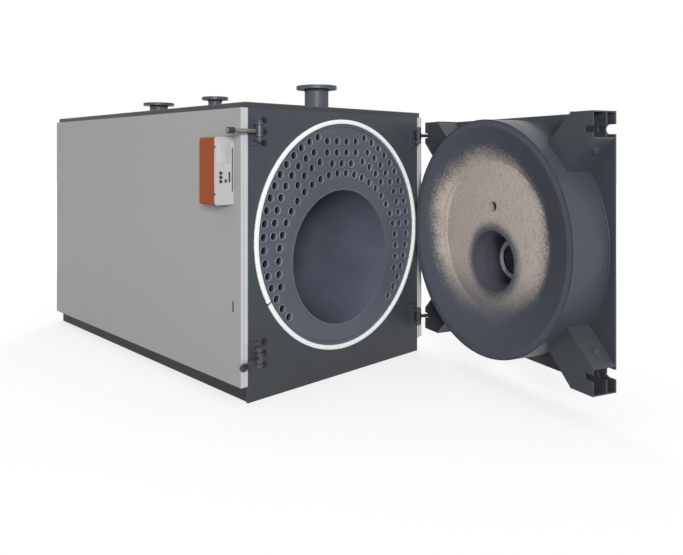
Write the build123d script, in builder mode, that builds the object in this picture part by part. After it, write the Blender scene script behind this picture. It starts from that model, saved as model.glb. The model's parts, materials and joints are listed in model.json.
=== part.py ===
"""Pressurised hot-water boiler with a hinged, refractory-lined front door.

Sizes in mm, +Z up, the front faces -Y, the origin lies under the middle of the base.
"""
import os
from math import cos, degrees, floor, hypot, radians, sin

from build123d import *

os.makedirs("parts", exist_ok=True)

# casing
CASE_L = 2690.0
FRONT_BAY = 830.0
REAR_BAY = 885.0
ROOF_REAR_BAY = 700.0
FLOOR_GAP = 215.0
ROOF_SPACE = 115.0
ROOF_T = 35.0
ROOF_INSET = 25.0
SKIRT_Z = 100.0
PANEL_T = 50.0
SEAM_D = 5.0

# pressure body
SHELL_R = 735.0
SHELL_T = 12.0
PLATE_EDGE = 50.0
PLATE_T = 15.0
RECESS = 6.0
REAR_T = 15.0
SMOKE_GAP = 160.0
FURNACE_SHARE = 0.622
FURNACE_T = 12.0
WATER_LEG = 106.0
FURNACE_END = 310.0
FURNACE_LIP = 5.0
TUBE_BORE = 50.0
TUBE_PITCH = 82.0
TUBE_NEAR = 67.0
LIGAMENT = 12.0
ROW_PITCH = 80.0
ROW_STARTS = (19.1, 25.3, 23.1)
ROW_END = 139.0
ROW_GAP = 102.3
ROW_GAP_END = 129.0
CROWN_GAP = 100.0
CROWN_ROWS = (4, 4, 3)
CROWN_PITCH = 92.0
CROWN_STEP = 75.0
FIT = 0.5

# gasket
GASKET_GAP = 5.0
GASKET_W = 30.0
GASKET_T = 22.0
GASKET_EDGE = 7.0

# base
RAIL_W = 120.0
RAIL_INSET = 60.0
LEDGE_T = 12.0
LEDGE_INSET = 20.0
CROSS_W = 140.0
CROSS_COUNT = 3

# connections on the roof
FLANGE_RISE = 165.0
MAIN_PIPE = 168.3
MAIN_FLANGE = 285.0
MAIN_PCD = 240.0
MAIN_HOLE = 22.0
SAFETY_PIPE = 114.3
SAFETY_FLANGE = 220.0
SAFETY_PCD = 180.0
SAFETY_HOLE = 18.0
FLANGE_T = 24.0
FLANGE_HOLES = 8
PIPE_WALL = 7.0
FLOW_BACK = 255.0
SAFETY_TO_SEAM = 501.0
SOCKET_TO_SEAM = 190.0
RETURN_TO_REAR = 289.0
SOCKET_D = 70.0
SOCKET_BORE = 50.0
SOCKET_RISE = 80.0
ROOF_GAP = 8.0

# flue and drain
FLUE_D = 400.0
FLUE_T = 5.0
FLUE_OUT = 190.0
FLUE_SEAT = 8.0
FLUE_SEAT_OUT = 12.0
FLUE_RISE = 250.0
HATCH_W = 420.0
HATCH_H = 260.0
HATCH_T = 25.0
HATCH_DROP = 330.0
DRAIN_D = 60.0
DRAIN_BORE = 46.0
DRAIN_RISER = 48.0
DRAIN_Z = 160.0
DRAIN_OUT = 70.0
DRAIN_TO_REAR = 470.0

# control box on the left side
BOX_BACK = 77.0
BOX_L = 167.0
BOX_D = 131.0
BOX_H = 403.0
BOX_DROP = 176.0
FASCIA_T = 12.0
BOX_EDGE = 10.0
KNOB_D = 14.0
KNOB_T = 10.0
KNOBS = 3
KNOB_STEP = 25.0
KNOB_RISE = 164.0
KNOB_SIDE = 28.0

# pivots shared by the hinges and the swing bolts
PIVOT_SIDE = 21.0
PIVOT_OUT = 48.0
PIN_D = 24.0
PIN_PLAY = 0.3
PIN_HEAD_D = 38.0
PIN_HEAD_T = 8.0
PIN_TAIL = 10.0
EYE_R = 24.0
EYE_H = 60.0
LUG_T = 20.0
LUG_R = 22.0
LUG_PLAY = 5.5
PAD_T = 12.0
PAD_W = 70.0
PAD_H = 168.0

# door, built on its own plane: u towards the free edge, v up, w towards the boiler
OPEN_DEG = 71.3
SEAL_PLAY = 6.0
SEAL_LAP = 20.0
DRUM_T = 10.0
DOOR_D = 272.0
BACK_T = 12.0
DOOR_MARGIN = 15.0
RIM_W = 45.0
DISH_SLOPE = 225.0
DISH_D = 90.0
BURNER_D = 320.0
BURNER_BORE = 230.0
FLARE_D = 390.0
FLARE_L = 60.0
BURNER_FLANGE = 520.0
BURNER_PCD = 430.0
BURNER_HOLE = 17.0
BURNER_T = 25.0
BURNER_HOLES = 8
SIGHT_D = 60.0
SIGHT_RISE = 355.0
SIGHT_PORT = 110.0
SIGHT_T = 45.0
GLASS_T = 10.0
GLASS_SEAT = 8.0

# hollow arms from the drum to the door's corners, open at the side, that the bolts swing into
ARM_OUT = 40.0
HINGE_OUT = 22.0
ARM_DROP = 100.0
ARM_SETBACK = 97.0
ARM_SHARE = 0.2046
ARM_REACH_SHARE = 0.3
ARM_T = 8.0
BEAR_IN = 68.0
BEAR_T = 10.0

# swing bolts and hinge bolts
BOLT_D = 24.0
BOLT_TAIL = 8.0
NUT_D = 42.0
NUT_SIDES = 6
NUT_L = 40.0
NUT_PLAY = 7.0
SLOT_PLAY = 6.0
UPPER_SWING = 90.0
LOWER_SWING = 63.0

# sizes that follow from those above
AXIS_Z = FLOOR_GAP + SHELL_R
CASE_H = AXIS_Z + SHELL_R + ROOF_SPACE
PLATE_H = CASE_H - ROOF_T
FRONT_Y = -CASE_L / 2
REAR_Y = CASE_L / 2
BORE_R = SHELL_R - SHELL_T
FURNACE_R = FURNACE_SHARE * BORE_R
FURNACE_DROP = BORE_R - FURNACE_R - FURNACE_T - WATER_LEG
SHELL_L = CASE_L - PANEL_T - REAR_T
CORE_L = SHELL_L - RECESS - SMOKE_GAP
FURNACE_L = CORE_L - FURNACE_END
GASKET_IN = SHELL_R + GASKET_GAP
GASKET_OUT = GASKET_IN + GASKET_W
DRUM_R = GASKET_IN + SEAL_LAP
PIVOT_X = GASKET_IN + PIVOT_SIDE
PIVOT_Y = FRONT_Y - PIVOT_OUT
PLATE_W = 2 * (PIVOT_X + PLATE_EDGE)
CASE_W = PLATE_W + 2 * PANEL_T
RAIL_X = CASE_W / 2 - RAIL_INSET - RAIL_W / 2
ROOF_SEAM = CASE_L - ROOF_REAR_BAY
FLANGE_Z = CASE_H + FLANGE_RISE
SOCKET_Z = CASE_H + SOCKET_RISE
SAFETY_BACK = ROOF_SEAM - SAFETY_TO_SEAM
SOCKET_BACK = ROOF_SEAM - SOCKET_TO_SEAM
RETURN_BACK = CASE_L - RETURN_TO_REAR
BOX_Z = PLATE_H - BOX_DROP - BOX_H
KNOB_Z = BOX_Z + KNOB_RISE
DOOR_W = 2 * PIVOT_X + ARM_OUT + HINGE_OUT
DOOR_SHIFT = (ARM_OUT - HINGE_OUT) / 2
DOOR_H = 2 * (DRUM_R + DOOR_MARGIN)
RIM_R = DRUM_R - RIM_W
DISH_R = RIM_R - DISH_SLOPE
ARM_LEG = ARM_SHARE * DRUM_R
ARM_REACH = ARM_REACH_SHARE * DRUM_R
ARM_D = DOOR_D - ARM_SETBACK
PIVOT_DZ = DOOR_H / 2 - ARM_DROP
PIVOT_LEVELS = (AXIS_Z + PIVOT_DZ, AXIS_Z - PIVOT_DZ)
LUG_Z = EYE_H / 2 + LUG_PLAY
SEAL_Y = FRONT_Y - GASKET_T - SEAL_PLAY
SLOT_R = BOLT_D / 2 + SLOT_PLAY
POCKET_H = NUT_D + 2 * SLOT_PLAY
BEAR_AT = SEAL_PLAY + GASKET_T + DOOR_D - BEAR_IN - PIVOT_OUT

FACE = Plane((0, FRONT_Y, AXIS_Z), x_dir=(1, 0, 0), z_dir=(0, -1, 0))
REAR = Plane((0, REAR_Y, AXIS_Z), x_dir=(-1, 0, 0), z_dir=(0, 1, 0))

turn = radians(OPEN_DEG)
door_u = Vector(-cos(turn), -sin(turn), 0)
door_w = Vector(-sin(turn), cos(turn), 0)
pin_to_seal = SEAL_Y - PIVOT_Y
door_origin = Vector(PIVOT_X, PIVOT_Y, AXIS_Z) + door_u * PIVOT_X + door_w * pin_to_seal
DOOR = Plane(door_origin, x_dir=door_u, z_dir=door_w)
DOOR_BACK = DOOR.offset(-DOOR_D)
DOOR_SECTION = Plane(door_origin, x_dir=door_u, z_dir=(0, 0, -1))


def tube_arc(radius, rise, start, end):
    """Tube centres on both halves of an arc, from a start angle off the top to an end angle."""
    step = degrees(TUBE_PITCH / radius)
    angles = [radians(start + index * step) for index in range(floor((end - start) / step) + 1)]
    return [(side * radius * sin(angle), radius * cos(angle) + rise) for angle in angles for side in (1, -1)]


def tube_spots():
    """Tube centres from the shell axis: along the shell, over the furnace, in the crown, then between."""
    shell_row = BORE_R - TUBE_BORE / 2 - LIGAMENT
    furnace_row = FURNACE_R + FURNACE_T + ROW_GAP
    half_step = degrees(TUBE_PITCH / furnace_row) / 2
    outer, *inner = [
        tube_arc(shell_row - row * ROW_PITCH, 0.0, start, ROW_END) for row, start in enumerate(ROW_STARTS)
    ]
    over_furnace = tube_arc(furnace_row, -FURNACE_DROP, half_step, ROW_GAP_END)
    crown = [
        ((index - (count - 1) / 2) * CROWN_PITCH, BORE_R - CROWN_GAP - row * CROWN_STEP)
        for row, count in enumerate(CROWN_ROWS) for index in range(count)
    ]
    spots = []
    for x, z in outer + over_furnace + crown + sum(inner, []):
        inside = hypot(x, z) < shell_row + FIT
        outside = hypot(x, z + FURNACE_DROP) > furnace_row - FIT
        apart = all(hypot(x - a, z - b) > TUBE_NEAR for a, b in spots)
        if inside and outside and apart:
            spots.append((x, z))
    return spots


def arm_outline(side, level, out, spread=0.0):
    """Outline of a corner arm at 45 degrees to the drum, with its open side moved outwards by the spread."""
    edge_u, edge_v = PIVOT_X + out, DOOR_H / 2
    points = (
        (edge_u + spread, edge_v),
        (edge_u - ARM_LEG, edge_v),
        (edge_u - ARM_LEG - ARM_REACH, edge_v - ARM_REACH),
        (edge_u - ARM_REACH, edge_v - ARM_LEG - ARM_REACH),
        (edge_u + spread, edge_v - ARM_LEG + spread),
    )
    return [(side * u, level * v) for u, v in points]


# base
with BuildPart() as base_rails:
    for side in (-1, 1):
        with BuildSketch(Plane.XY):
            with Locations((side * RAIL_X, PLATE_T / 2)):
                Rectangle(RAIL_W, CASE_L - PLATE_T)
        extrude(amount=SKIRT_Z)
        with BuildSketch(Plane.XY.offset(SKIRT_Z - LEDGE_T)):
            with Locations((side * (RAIL_X + RAIL_INSET - LEDGE_INSET), PLATE_T / 2)):
                Rectangle(RAIL_W, CASE_L - PLATE_T)
        extrude(amount=LEDGE_T)
base_rails.part.label = "base_rails"
export_step(base_rails.part, "parts/base_rails.step")

with BuildPart() as base_cross_members:
    with BuildSketch(Plane.XY):
        with Locations((0, PLATE_T / 2)):
            with GridLocations(0, (CASE_L - CROSS_W - PLATE_T) / (CROSS_COUNT - 1), 1, CROSS_COUNT):
                Rectangle(2 * RAIL_X - RAIL_W, CROSS_W)
    extrude(amount=SKIRT_Z)
base_cross_members.part.label = "base_cross_members"
export_step(base_cross_members.part, "parts/base_cross_members.step")

# front plate and pressure body
with BuildPart() as front_plate:
    with BuildSketch(FACE):
        with Locations((0, PLATE_H / 2 - AXIS_Z)):
            Rectangle(PLATE_W, PLATE_H)
        Circle(SHELL_R + FIT, mode=Mode.SUBTRACT)
    extrude(amount=-PLATE_T)
front_plate.part.label = "front_plate"
export_step(front_plate.part, "parts/front_plate.step")

with BuildPart() as shell:
    with BuildSketch(FACE):
        Circle(SHELL_R)
        Circle(BORE_R, mode=Mode.SUBTRACT)
    extrude(amount=-SHELL_L)
shell.part.label = "shell"
export_step(shell.part, "parts/shell.step")

with BuildPart() as tube_nest:
    with BuildSketch(FACE.offset(-RECESS)):
        Circle(BORE_R - FIT)
        with Locations(*tube_spots()):
            Circle(TUBE_BORE / 2, mode=Mode.SUBTRACT)
    extrude(amount=-CORE_L)
    with BuildSketch(FACE.offset(-RECESS)):
        with Locations((0, -FURNACE_DROP)):
            Circle(FURNACE_R + FURNACE_T + FIT)
    extrude(amount=-FURNACE_L, mode=Mode.SUBTRACT)
tube_nest.part.label = "tube_nest"
export_step(tube_nest.part, "parts/tube_nest.step")

with BuildPart() as furnace_tube:
    with BuildSketch(FACE.offset(FURNACE_LIP - RECESS)):
        with Locations((0, -FURNACE_DROP)):
            Circle(FURNACE_R + FURNACE_T)
    extrude(amount=-FURNACE_L - FURNACE_LIP)
    with BuildSketch(FACE.offset(FURNACE_LIP - RECESS)):
        with Locations((0, -FURNACE_DROP)):
            Circle(FURNACE_R)
    extrude(amount=-FURNACE_L - FURNACE_LIP + FURNACE_T, mode=Mode.SUBTRACT)
furnace_tube.part.label = "furnace_tube"
export_step(furnace_tube.part, "parts/furnace_tube.step")

with BuildPart() as door_gasket:
    with BuildSketch(FACE):
        Circle(GASKET_OUT)
        Circle(GASKET_IN, mode=Mode.SUBTRACT)
    extrude(amount=GASKET_T)
    fillet(door_gasket.faces().sort_by(Axis.Y)[0].edges(), GASKET_EDGE)
door_gasket.part.label = "door_gasket"
export_step(door_gasket.part, "parts/door_gasket.step")

with BuildPart() as smoke_cover:
    with BuildSketch(FACE.offset(-SHELL_L)):
        Circle(SHELL_R)
        with Locations((0, FLUE_RISE)):
            Circle(FLUE_D / 2 - FLUE_T, mode=Mode.SUBTRACT)
    extrude(amount=-REAR_T)
smoke_cover.part.label = "smoke_cover"
export_step(smoke_cover.part, "parts/smoke_cover.step")

# casing panels
panel_h = PLATE_H - SKIRT_Z
bay_names = ("front", "middle", "rear")
side_seams = (0.0, FRONT_BAY, CASE_L - REAR_BAY, CASE_L)
for side, side_name in ((-1, "left"), (1, "right")):
    for bay_name, bay_start, bay_end in zip(bay_names, side_seams, side_seams[1:]):
        with BuildPart() as side_panel:
            with BuildSketch(Plane.XY.offset(SKIRT_Z)):
                with Locations((side * (CASE_W - PANEL_T) / 2, FRONT_Y + (bay_start + bay_end) / 2)):
                    Rectangle(PANEL_T, bay_end - bay_start)
            extrude(amount=panel_h)
            seam = side_panel.edges().filter_by(Axis.Z).sort_by(Axis.X)
            outer = seam[-2:] if side > 0 else seam[:2]
            chamfer(outer, SEAM_D)
        side_panel.part.label = f"{side_name}_panel_{bay_name}"
        export_step(side_panel.part, f"parts/{side_name}_panel_{bay_name}.step")

roof_w = CASE_W - 2 * ROOF_INSET
roof_seams = (0.0, FRONT_BAY, ROOF_SEAM, CASE_L)
taps = (
    (FLOW_BACK, MAIN_PIPE), (SAFETY_BACK, SAFETY_PIPE), (SOCKET_BACK, SOCKET_D), (RETURN_BACK, MAIN_PIPE),
)
for bay_name, bay_start, bay_end in zip(bay_names, roof_seams, roof_seams[1:]):
    with BuildPart() as roof_panel:
        with BuildSketch(Plane.XY.offset(PLATE_H)):
            with Locations((0, FRONT_Y + (bay_start + bay_end) / 2)):
                Rectangle(roof_w, bay_end - bay_start)
            for tap_back, tap_d in taps:
                if bay_start < tap_back < bay_end:
                    with Locations((0, FRONT_Y + tap_back)):
                        Circle(tap_d / 2 + ROOF_GAP, mode=Mode.SUBTRACT)
        extrude(amount=ROOF_T)
        chamfer(roof_panel.faces().sort_by(Axis.Z)[-1].outer_wire().edges(), SEAM_D)
    roof_panel.part.label = f"roof_panel_{bay_name}"
    export_step(roof_panel.part, f"parts/roof_panel_{bay_name}.step")

with BuildPart() as rear_panel:
    with BuildSketch(REAR):
        with Locations((0, (PLATE_H + SKIRT_Z) / 2 - AXIS_Z)):
            Rectangle(PLATE_W, panel_h)
        with Locations((0, FLUE_RISE)):
            Circle(FLUE_D / 2 + FLUE_SEAT + ROOF_GAP, mode=Mode.SUBTRACT)
        with Locations((0, DRAIN_Z - AXIS_Z)):
            Circle(DRAIN_D / 2 + ROOF_GAP, mode=Mode.SUBTRACT)
    extrude(amount=-PANEL_T)
rear_panel.part.label = "rear_panel"
export_step(rear_panel.part, "parts/rear_panel.step")

with BuildPart() as flue_collar:
    with BuildSketch(REAR.offset(-PANEL_T)):
        with Locations((0, FLUE_RISE)):
            Circle(FLUE_D / 2)
            Circle(FLUE_D / 2 - FLUE_T, mode=Mode.SUBTRACT)
    extrude(amount=PANEL_T + FLUE_OUT)
    with BuildSketch(REAR.offset(-PANEL_T)):
        with Locations((0, FLUE_RISE)):
            Circle(FLUE_D / 2 + FLUE_SEAT)
            Circle(FLUE_D / 2 - FLUE_T, mode=Mode.SUBTRACT)
    extrude(amount=PANEL_T + FLUE_SEAT_OUT)
flue_collar.part.label = "flue_collar"
export_step(flue_collar.part, "parts/flue_collar.step")

with BuildPart() as cleaning_hatch:
    with BuildSketch(REAR):
        with Locations((0, -HATCH_DROP)):
            RectangleRounded(HATCH_W, HATCH_H, HATCH_T)
    extrude(amount=HATCH_T)
cleaning_hatch.part.label = "cleaning_hatch"
export_step(cleaning_hatch.part, "parts/cleaning_hatch.step")

with BuildPart() as drain_pipe:
    with BuildSketch(REAR.offset(DRAIN_OUT)):
        with Locations((0, DRAIN_Z - AXIS_Z)):
            Circle(DRAIN_D / 2)
    extrude(amount=-(DRAIN_OUT + DRAIN_TO_REAR + DRAIN_D / 2))
    with BuildSketch(Plane((0, REAR_Y - DRAIN_TO_REAR, DRAIN_Z))):
        Circle(DRAIN_RISER / 2)
    extrude(amount=AXIS_Z - DRAIN_Z)
    with BuildSketch(FACE):
        Circle(SHELL_R + FIT)
    extrude(amount=-CASE_L, mode=Mode.SUBTRACT)
    with BuildSketch(REAR.offset(DRAIN_OUT)):
        with Locations((0, DRAIN_Z - AXIS_Z)):
            Circle(DRAIN_BORE / 2)
    extrude(amount=-DRAIN_OUT, mode=Mode.SUBTRACT)
drain_pipe.part.label = "drain_pipe"
export_step(drain_pipe.part, "parts/drain_pipe.step")

# connections on the roof
nozzles = (
    ("flow_nozzle", FLOW_BACK, MAIN_PIPE, MAIN_FLANGE, MAIN_PCD, MAIN_HOLE),
    ("safety_nozzle", SAFETY_BACK, SAFETY_PIPE, SAFETY_FLANGE, SAFETY_PCD, SAFETY_HOLE),
    ("return_nozzle", RETURN_BACK, MAIN_PIPE, MAIN_FLANGE, MAIN_PCD, MAIN_HOLE),
)
for nozzle_name, nozzle_back, pipe_d, flange_d, pcd, hole_d in nozzles:
    with BuildPart() as nozzle:
        with BuildSketch(Plane((0, FRONT_Y + nozzle_back, AXIS_Z))):
            Circle(pipe_d / 2)
        extrude(amount=FLANGE_Z - AXIS_Z)
        with BuildSketch(FACE):
            Circle(SHELL_R + FIT)
        extrude(amount=-CASE_L, mode=Mode.SUBTRACT)
        with BuildSketch(Plane((0, FRONT_Y + nozzle_back, FLANGE_Z))):
            Circle(flange_d / 2)
            with PolarLocations(pcd / 2, FLANGE_HOLES, start_angle=180 / FLANGE_HOLES):
                Circle(hole_d / 2, mode=Mode.SUBTRACT)
        extrude(amount=-FLANGE_T)
        with BuildSketch(Plane((0, FRONT_Y + nozzle_back, FLANGE_Z))):
            Circle(pipe_d / 2 - PIPE_WALL)
        extrude(amount=AXIS_Z - FLANGE_Z, mode=Mode.SUBTRACT)
    nozzle.part.label = nozzle_name
    export_step(nozzle.part, f"parts/{nozzle_name}.step")

with BuildPart() as top_socket:
    with BuildSketch(Plane((0, FRONT_Y + SOCKET_BACK, AXIS_Z))):
        Circle(SOCKET_D / 2)
    extrude(amount=SOCKET_Z - AXIS_Z)
    with BuildSketch(FACE):
        Circle(SHELL_R + FIT)
    extrude(amount=-CASE_L, mode=Mode.SUBTRACT)
    with BuildSketch(Plane((0, FRONT_Y + SOCKET_BACK, SOCKET_Z))):
        Circle(SOCKET_BORE / 2)
    extrude(amount=AXIS_Z - SOCKET_Z, mode=Mode.SUBTRACT)
top_socket.part.label = "top_socket"
export_step(top_socket.part, "parts/top_socket.step")

# control box
box_y = FRONT_Y + BOX_BACK
box_x = -CASE_W / 2 - BOX_D / 2
with BuildPart() as control_box:
    with BuildSketch(Plane.XY.offset(BOX_Z)):
        with Locations((box_x, box_y + (BOX_L + FASCIA_T) / 2)):
            Rectangle(BOX_D, BOX_L - FASCIA_T)
    extrude(amount=BOX_H)
    chamfer(control_box.edges().group_by(Axis.X)[0].filter_by(Axis.Y), BOX_EDGE)
control_box.part.label = "control_box"
export_step(control_box.part, "parts/control_box.step")

with BuildPart() as control_fascia:
    with BuildSketch(Plane((box_x, box_y, BOX_Z + BOX_H / 2), x_dir=(1, 0, 0), z_dir=(0, -1, 0))):
        Rectangle(BOX_D, BOX_H)
    extrude(amount=-FASCIA_T)
    chamfer(control_fascia.edges().group_by(Axis.X)[0].filter_by(Axis.Y), BOX_EDGE)
control_fascia.part.label = "control_fascia"
export_step(control_fascia.part, "parts/control_fascia.step")

with BuildPart() as control_knobs:
    with BuildSketch(Plane((box_x - KNOB_SIDE, box_y, KNOB_Z), x_dir=(1, 0, 0), z_dir=(0, -1, 0))):
        with GridLocations(0, KNOB_STEP, 1, KNOBS):
            Circle(KNOB_D / 2)
    extrude(amount=KNOB_T)
control_knobs.part.label = "control_knobs"
export_step(control_knobs.part, "parts/control_knobs.step")

# pivots: the same lugs and pins carry the hinges on the right and the swing bolts on the left
for side, pivot_name in ((1, "hinge"), (-1, "clamp")):
    with BuildPart() as lugs:
        for level in PIVOT_LEVELS:
            with BuildSketch(FACE):
                with Locations((side * PIVOT_X, level - AXIS_Z)):
                    Rectangle(PAD_W, PAD_H)
            extrude(amount=PAD_T)
            for start in (level + LUG_Z, level - LUG_Z - LUG_T):
                with BuildSketch(Plane((side * PIVOT_X, PIVOT_Y, start))):
                    Circle(LUG_R)
                    with Locations((0, PIVOT_OUT / 2)):
                        Rectangle(2 * LUG_R, PIVOT_OUT)
                    Circle(PIN_D / 2 + PIN_PLAY, mode=Mode.SUBTRACT)
                extrude(amount=LUG_T)
    lugs.part.label = f"{pivot_name}_lugs"
    export_step(lugs.part, f"parts/{pivot_name}_lugs.step")

    with BuildPart() as pins:
        for level in PIVOT_LEVELS:
            with BuildSketch(Plane((side * PIVOT_X, PIVOT_Y, level + LUG_Z + LUG_T))):
                Circle(PIN_HEAD_D / 2)
            extrude(amount=PIN_HEAD_T)
            with BuildSketch(Plane((side * PIVOT_X, PIVOT_Y, level + LUG_Z + LUG_T))):
                Circle(PIN_D / 2)
            extrude(amount=-2 * (LUG_Z + LUG_T) - PIN_TAIL)
    pins.part.label = f"{pivot_name}_pins"
    export_step(pins.part, f"parts/{pivot_name}_pins.step")

# door
with BuildPart() as door_plate:
    with BuildSketch(DOOR_BACK):
        with Locations((DOOR_SHIFT, 0)):
            Rectangle(DOOR_W, DOOR_H)
        with GridLocations(2 * PIVOT_X, 2 * PIVOT_DZ, 2, 2):
            Circle(POCKET_H / 2, mode=Mode.SUBTRACT)
        with GridLocations(2 * PIVOT_X + ARM_OUT, 2 * PIVOT_DZ, 2, 2):
            Rectangle(ARM_OUT, POCKET_H, mode=Mode.SUBTRACT)
        with Locations((0, -FURNACE_DROP)):
            Circle(BURNER_BORE / 2, mode=Mode.SUBTRACT)
        with Locations((0, SIGHT_RISE - FURNACE_DROP)):
            Circle(SIGHT_D / 2, mode=Mode.SUBTRACT)
    extrude(amount=BACK_T)
door_plate.part.label = "door_plate"
export_step(door_plate.part, "parts/door_plate.step")

with BuildPart() as door_drum:
    with BuildSketch(DOOR_BACK.offset(BACK_T)):
        Circle(DRUM_R)
        Circle(DRUM_R - DRUM_T, mode=Mode.SUBTRACT)
    extrude(amount=DOOR_D - BACK_T)
door_drum.part.label = "door_drum"
export_step(door_drum.part, "parts/door_drum.step")

with BuildPart() as door_refractory:
    with BuildSketch(DOOR_SECTION):
        with BuildLine():
            Polyline(
                (0, BACK_T - DOOR_D), (DRUM_R - DRUM_T - FIT, BACK_T - DOOR_D), (DRUM_R - DRUM_T - FIT, 0),
                (RIM_R, 0), (DISH_R, -DISH_D), (0, -DISH_D), close=True,
            )
        make_face()
    revolve(axis=Axis(door_origin, door_w))
    with BuildSketch(DOOR_BACK.offset(BACK_T)):
        with Locations((0, -FURNACE_DROP)):
            Circle(BURNER_D / 2)
        with Locations((0, SIGHT_RISE - FURNACE_DROP)):
            Circle(SIGHT_D / 2)
    extrude(amount=DOOR_D, mode=Mode.SUBTRACT)
    with BuildSketch(DOOR.offset(-DISH_D)):
        with Locations((0, -FURNACE_DROP)):
            Circle(FLARE_D / 2)
    with BuildSketch(DOOR.offset(-DISH_D - FLARE_L)):
        with Locations((0, -FURNACE_DROP)):
            Circle(BURNER_D / 2)
    loft(mode=Mode.SUBTRACT)
door_refractory.part.label = "door_refractory"
export_step(door_refractory.part, "parts/door_refractory.step")

with BuildPart() as burner_flange:
    with BuildSketch(DOOR_BACK):
        with Locations((0, -FURNACE_DROP)):
            Circle(BURNER_FLANGE / 2)
            with PolarLocations(BURNER_PCD / 2, BURNER_HOLES, start_angle=180 / BURNER_HOLES):
                Circle(BURNER_HOLE / 2, mode=Mode.SUBTRACT)
    extrude(amount=-BURNER_T)
burner_flange.part.label = "burner_flange"
export_step(burner_flange.part, "parts/burner_flange.step")

with BuildPart() as sight_port:
    with BuildSketch(DOOR_BACK):
        with Locations((0, SIGHT_RISE - FURNACE_DROP)):
            Circle(SIGHT_PORT / 2)
            Circle(SIGHT_D / 2, mode=Mode.SUBTRACT)
    extrude(amount=-SIGHT_T)
    with BuildSketch(DOOR_BACK.offset(-SIGHT_T)):
        with Locations((0, SIGHT_RISE - FURNACE_DROP)):
            Circle(SIGHT_D / 2 + GLASS_SEAT)
    extrude(amount=GLASS_T, mode=Mode.SUBTRACT)
sight_port.part.label = "sight_port"
export_step(sight_port.part, "parts/sight_port.step")

with BuildPart() as sight_glass:
    with BuildSketch(DOOR_BACK.offset(-SIGHT_T)):
        with Locations((0, SIGHT_RISE - FURNACE_DROP)):
            Circle(SIGHT_D / 2 + GLASS_SEAT - FIT)
    extrude(amount=GLASS_T)
sight_glass.part.label = "sight_glass"
export_step(sight_glass.part, "parts/sight_glass.step")

# corner arms: box sections on the door plate with a bearing wall inside, slotted for the bolt's rod
for side, out, block_name in ((1, ARM_OUT, "clamp_blocks"), (-1, HINGE_OUT, "hinge_blocks")):
    with BuildPart() as blocks:
        for level in (1, -1):
            with BuildSketch(DOOR_BACK.offset(BACK_T)):
                with BuildLine():
                    Polyline(*arm_outline(side, level, out), close=True)
                make_face()
            extrude(amount=ARM_D - BACK_T)
            for pocket_start, pocket_end in ((BACK_T, BEAR_IN), (BEAR_IN + BEAR_T, ARM_D - ARM_T)):
                with BuildSketch(DOOR_BACK.offset(pocket_start)):
                    with BuildLine():
                        Polyline(*arm_outline(side, level, out, 2 * ARM_T), close=True)
                    make_face()
                    offset(amount=-ARM_T, kind=Kind.INTERSECTION, mode=Mode.REPLACE)
                extrude(amount=pocket_end - pocket_start, mode=Mode.SUBTRACT)
            with BuildSketch(DOOR_BACK):
                with Locations((side * PIVOT_X, level * PIVOT_DZ)):
                    Circle(SLOT_R)
                with Locations((side * (PIVOT_X + out / 2), level * PIVOT_DZ)):
                    Rectangle(out, 2 * SLOT_R)
            extrude(amount=ARM_D, mode=Mode.SUBTRACT)
        with BuildSketch(DOOR_BACK):
            Circle(DRUM_R + FIT)
        extrude(amount=DOOR_D, mode=Mode.SUBTRACT)
    blocks.part.label = block_name
    export_step(blocks.part, f"parts/{block_name}.step")

# hinge bolts, drawn tight against the bearing walls, so the door can hang on either side
with BuildPart() as hinge_bolts:
    for level in PIVOT_LEVELS:
        pivot = Vector(PIVOT_X, PIVOT_Y, level)
        with BuildSketch(Plane(pivot - Vector(0, 0, EYE_H / 2))):
            Circle(EYE_R)
        extrude(amount=EYE_H)
        with BuildSketch(Plane(pivot, x_dir=door_u, z_dir=-door_w)):
            Circle(BOLT_D / 2)
        extrude(amount=BEAR_AT + NUT_L + BOLT_TAIL)
        with BuildSketch(Plane(pivot - door_w * BEAR_AT, x_dir=door_u, z_dir=-door_w)):
            RegularPolygon(NUT_D / 2, NUT_SIDES)
        extrude(amount=NUT_L)
        with BuildSketch(Plane(pivot - Vector(0, 0, EYE_H / 2))):
            Circle(PIN_D / 2 + PIN_PLAY)
        extrude(amount=EYE_H, mode=Mode.SUBTRACT)
hinge_bolts.part.label = "hinge_bolts"
export_step(hinge_bolts.part, "parts/hinge_bolts.step")

# swing bolts at rest, turned out from the engaged position that points straight ahead
swings = (("upper", PIVOT_LEVELS[0], UPPER_SWING), ("lower", PIVOT_LEVELS[1], LOWER_SWING))
for bolt_name, level, swing in swings:
    along = Vector(-sin(radians(swing)), -cos(radians(swing)), 0)
    across = Vector(cos(radians(swing)), -sin(radians(swing)), 0)
    pivot = Vector(-PIVOT_X, PIVOT_Y, level)

    with BuildPart() as swing_bolt:
        with BuildSketch(Plane(pivot - Vector(0, 0, EYE_H / 2))):
            Circle(EYE_R)
        extrude(amount=EYE_H)
        with BuildSketch(Plane(pivot, x_dir=across, z_dir=along)):
            Circle(BOLT_D / 2)
        extrude(amount=BEAR_AT + NUT_PLAY + NUT_L + BOLT_TAIL)
        with BuildSketch(Plane(pivot - Vector(0, 0, EYE_H / 2))):
            Circle(PIN_D / 2 + PIN_PLAY)
        extrude(amount=EYE_H, mode=Mode.SUBTRACT)
    swing_bolt.part.label = f"swing_bolt_{bolt_name}"
    export_step(swing_bolt.part, f"parts/swing_bolt_{bolt_name}.step")

    with BuildPart() as swing_nut:
        with BuildSketch(Plane(pivot + along * (BEAR_AT + NUT_PLAY), x_dir=across, z_dir=along)):
            RegularPolygon(NUT_D / 2, NUT_SIDES)
            Circle(BOLT_D / 2 + FIT, mode=Mode.SUBTRACT)
        extrude(amount=NUT_L)
    swing_nut.part.label = f"swing_nut_{bolt_name}"
    export_step(swing_nut.part, f"parts/swing_nut_{bolt_name}.step")
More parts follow.
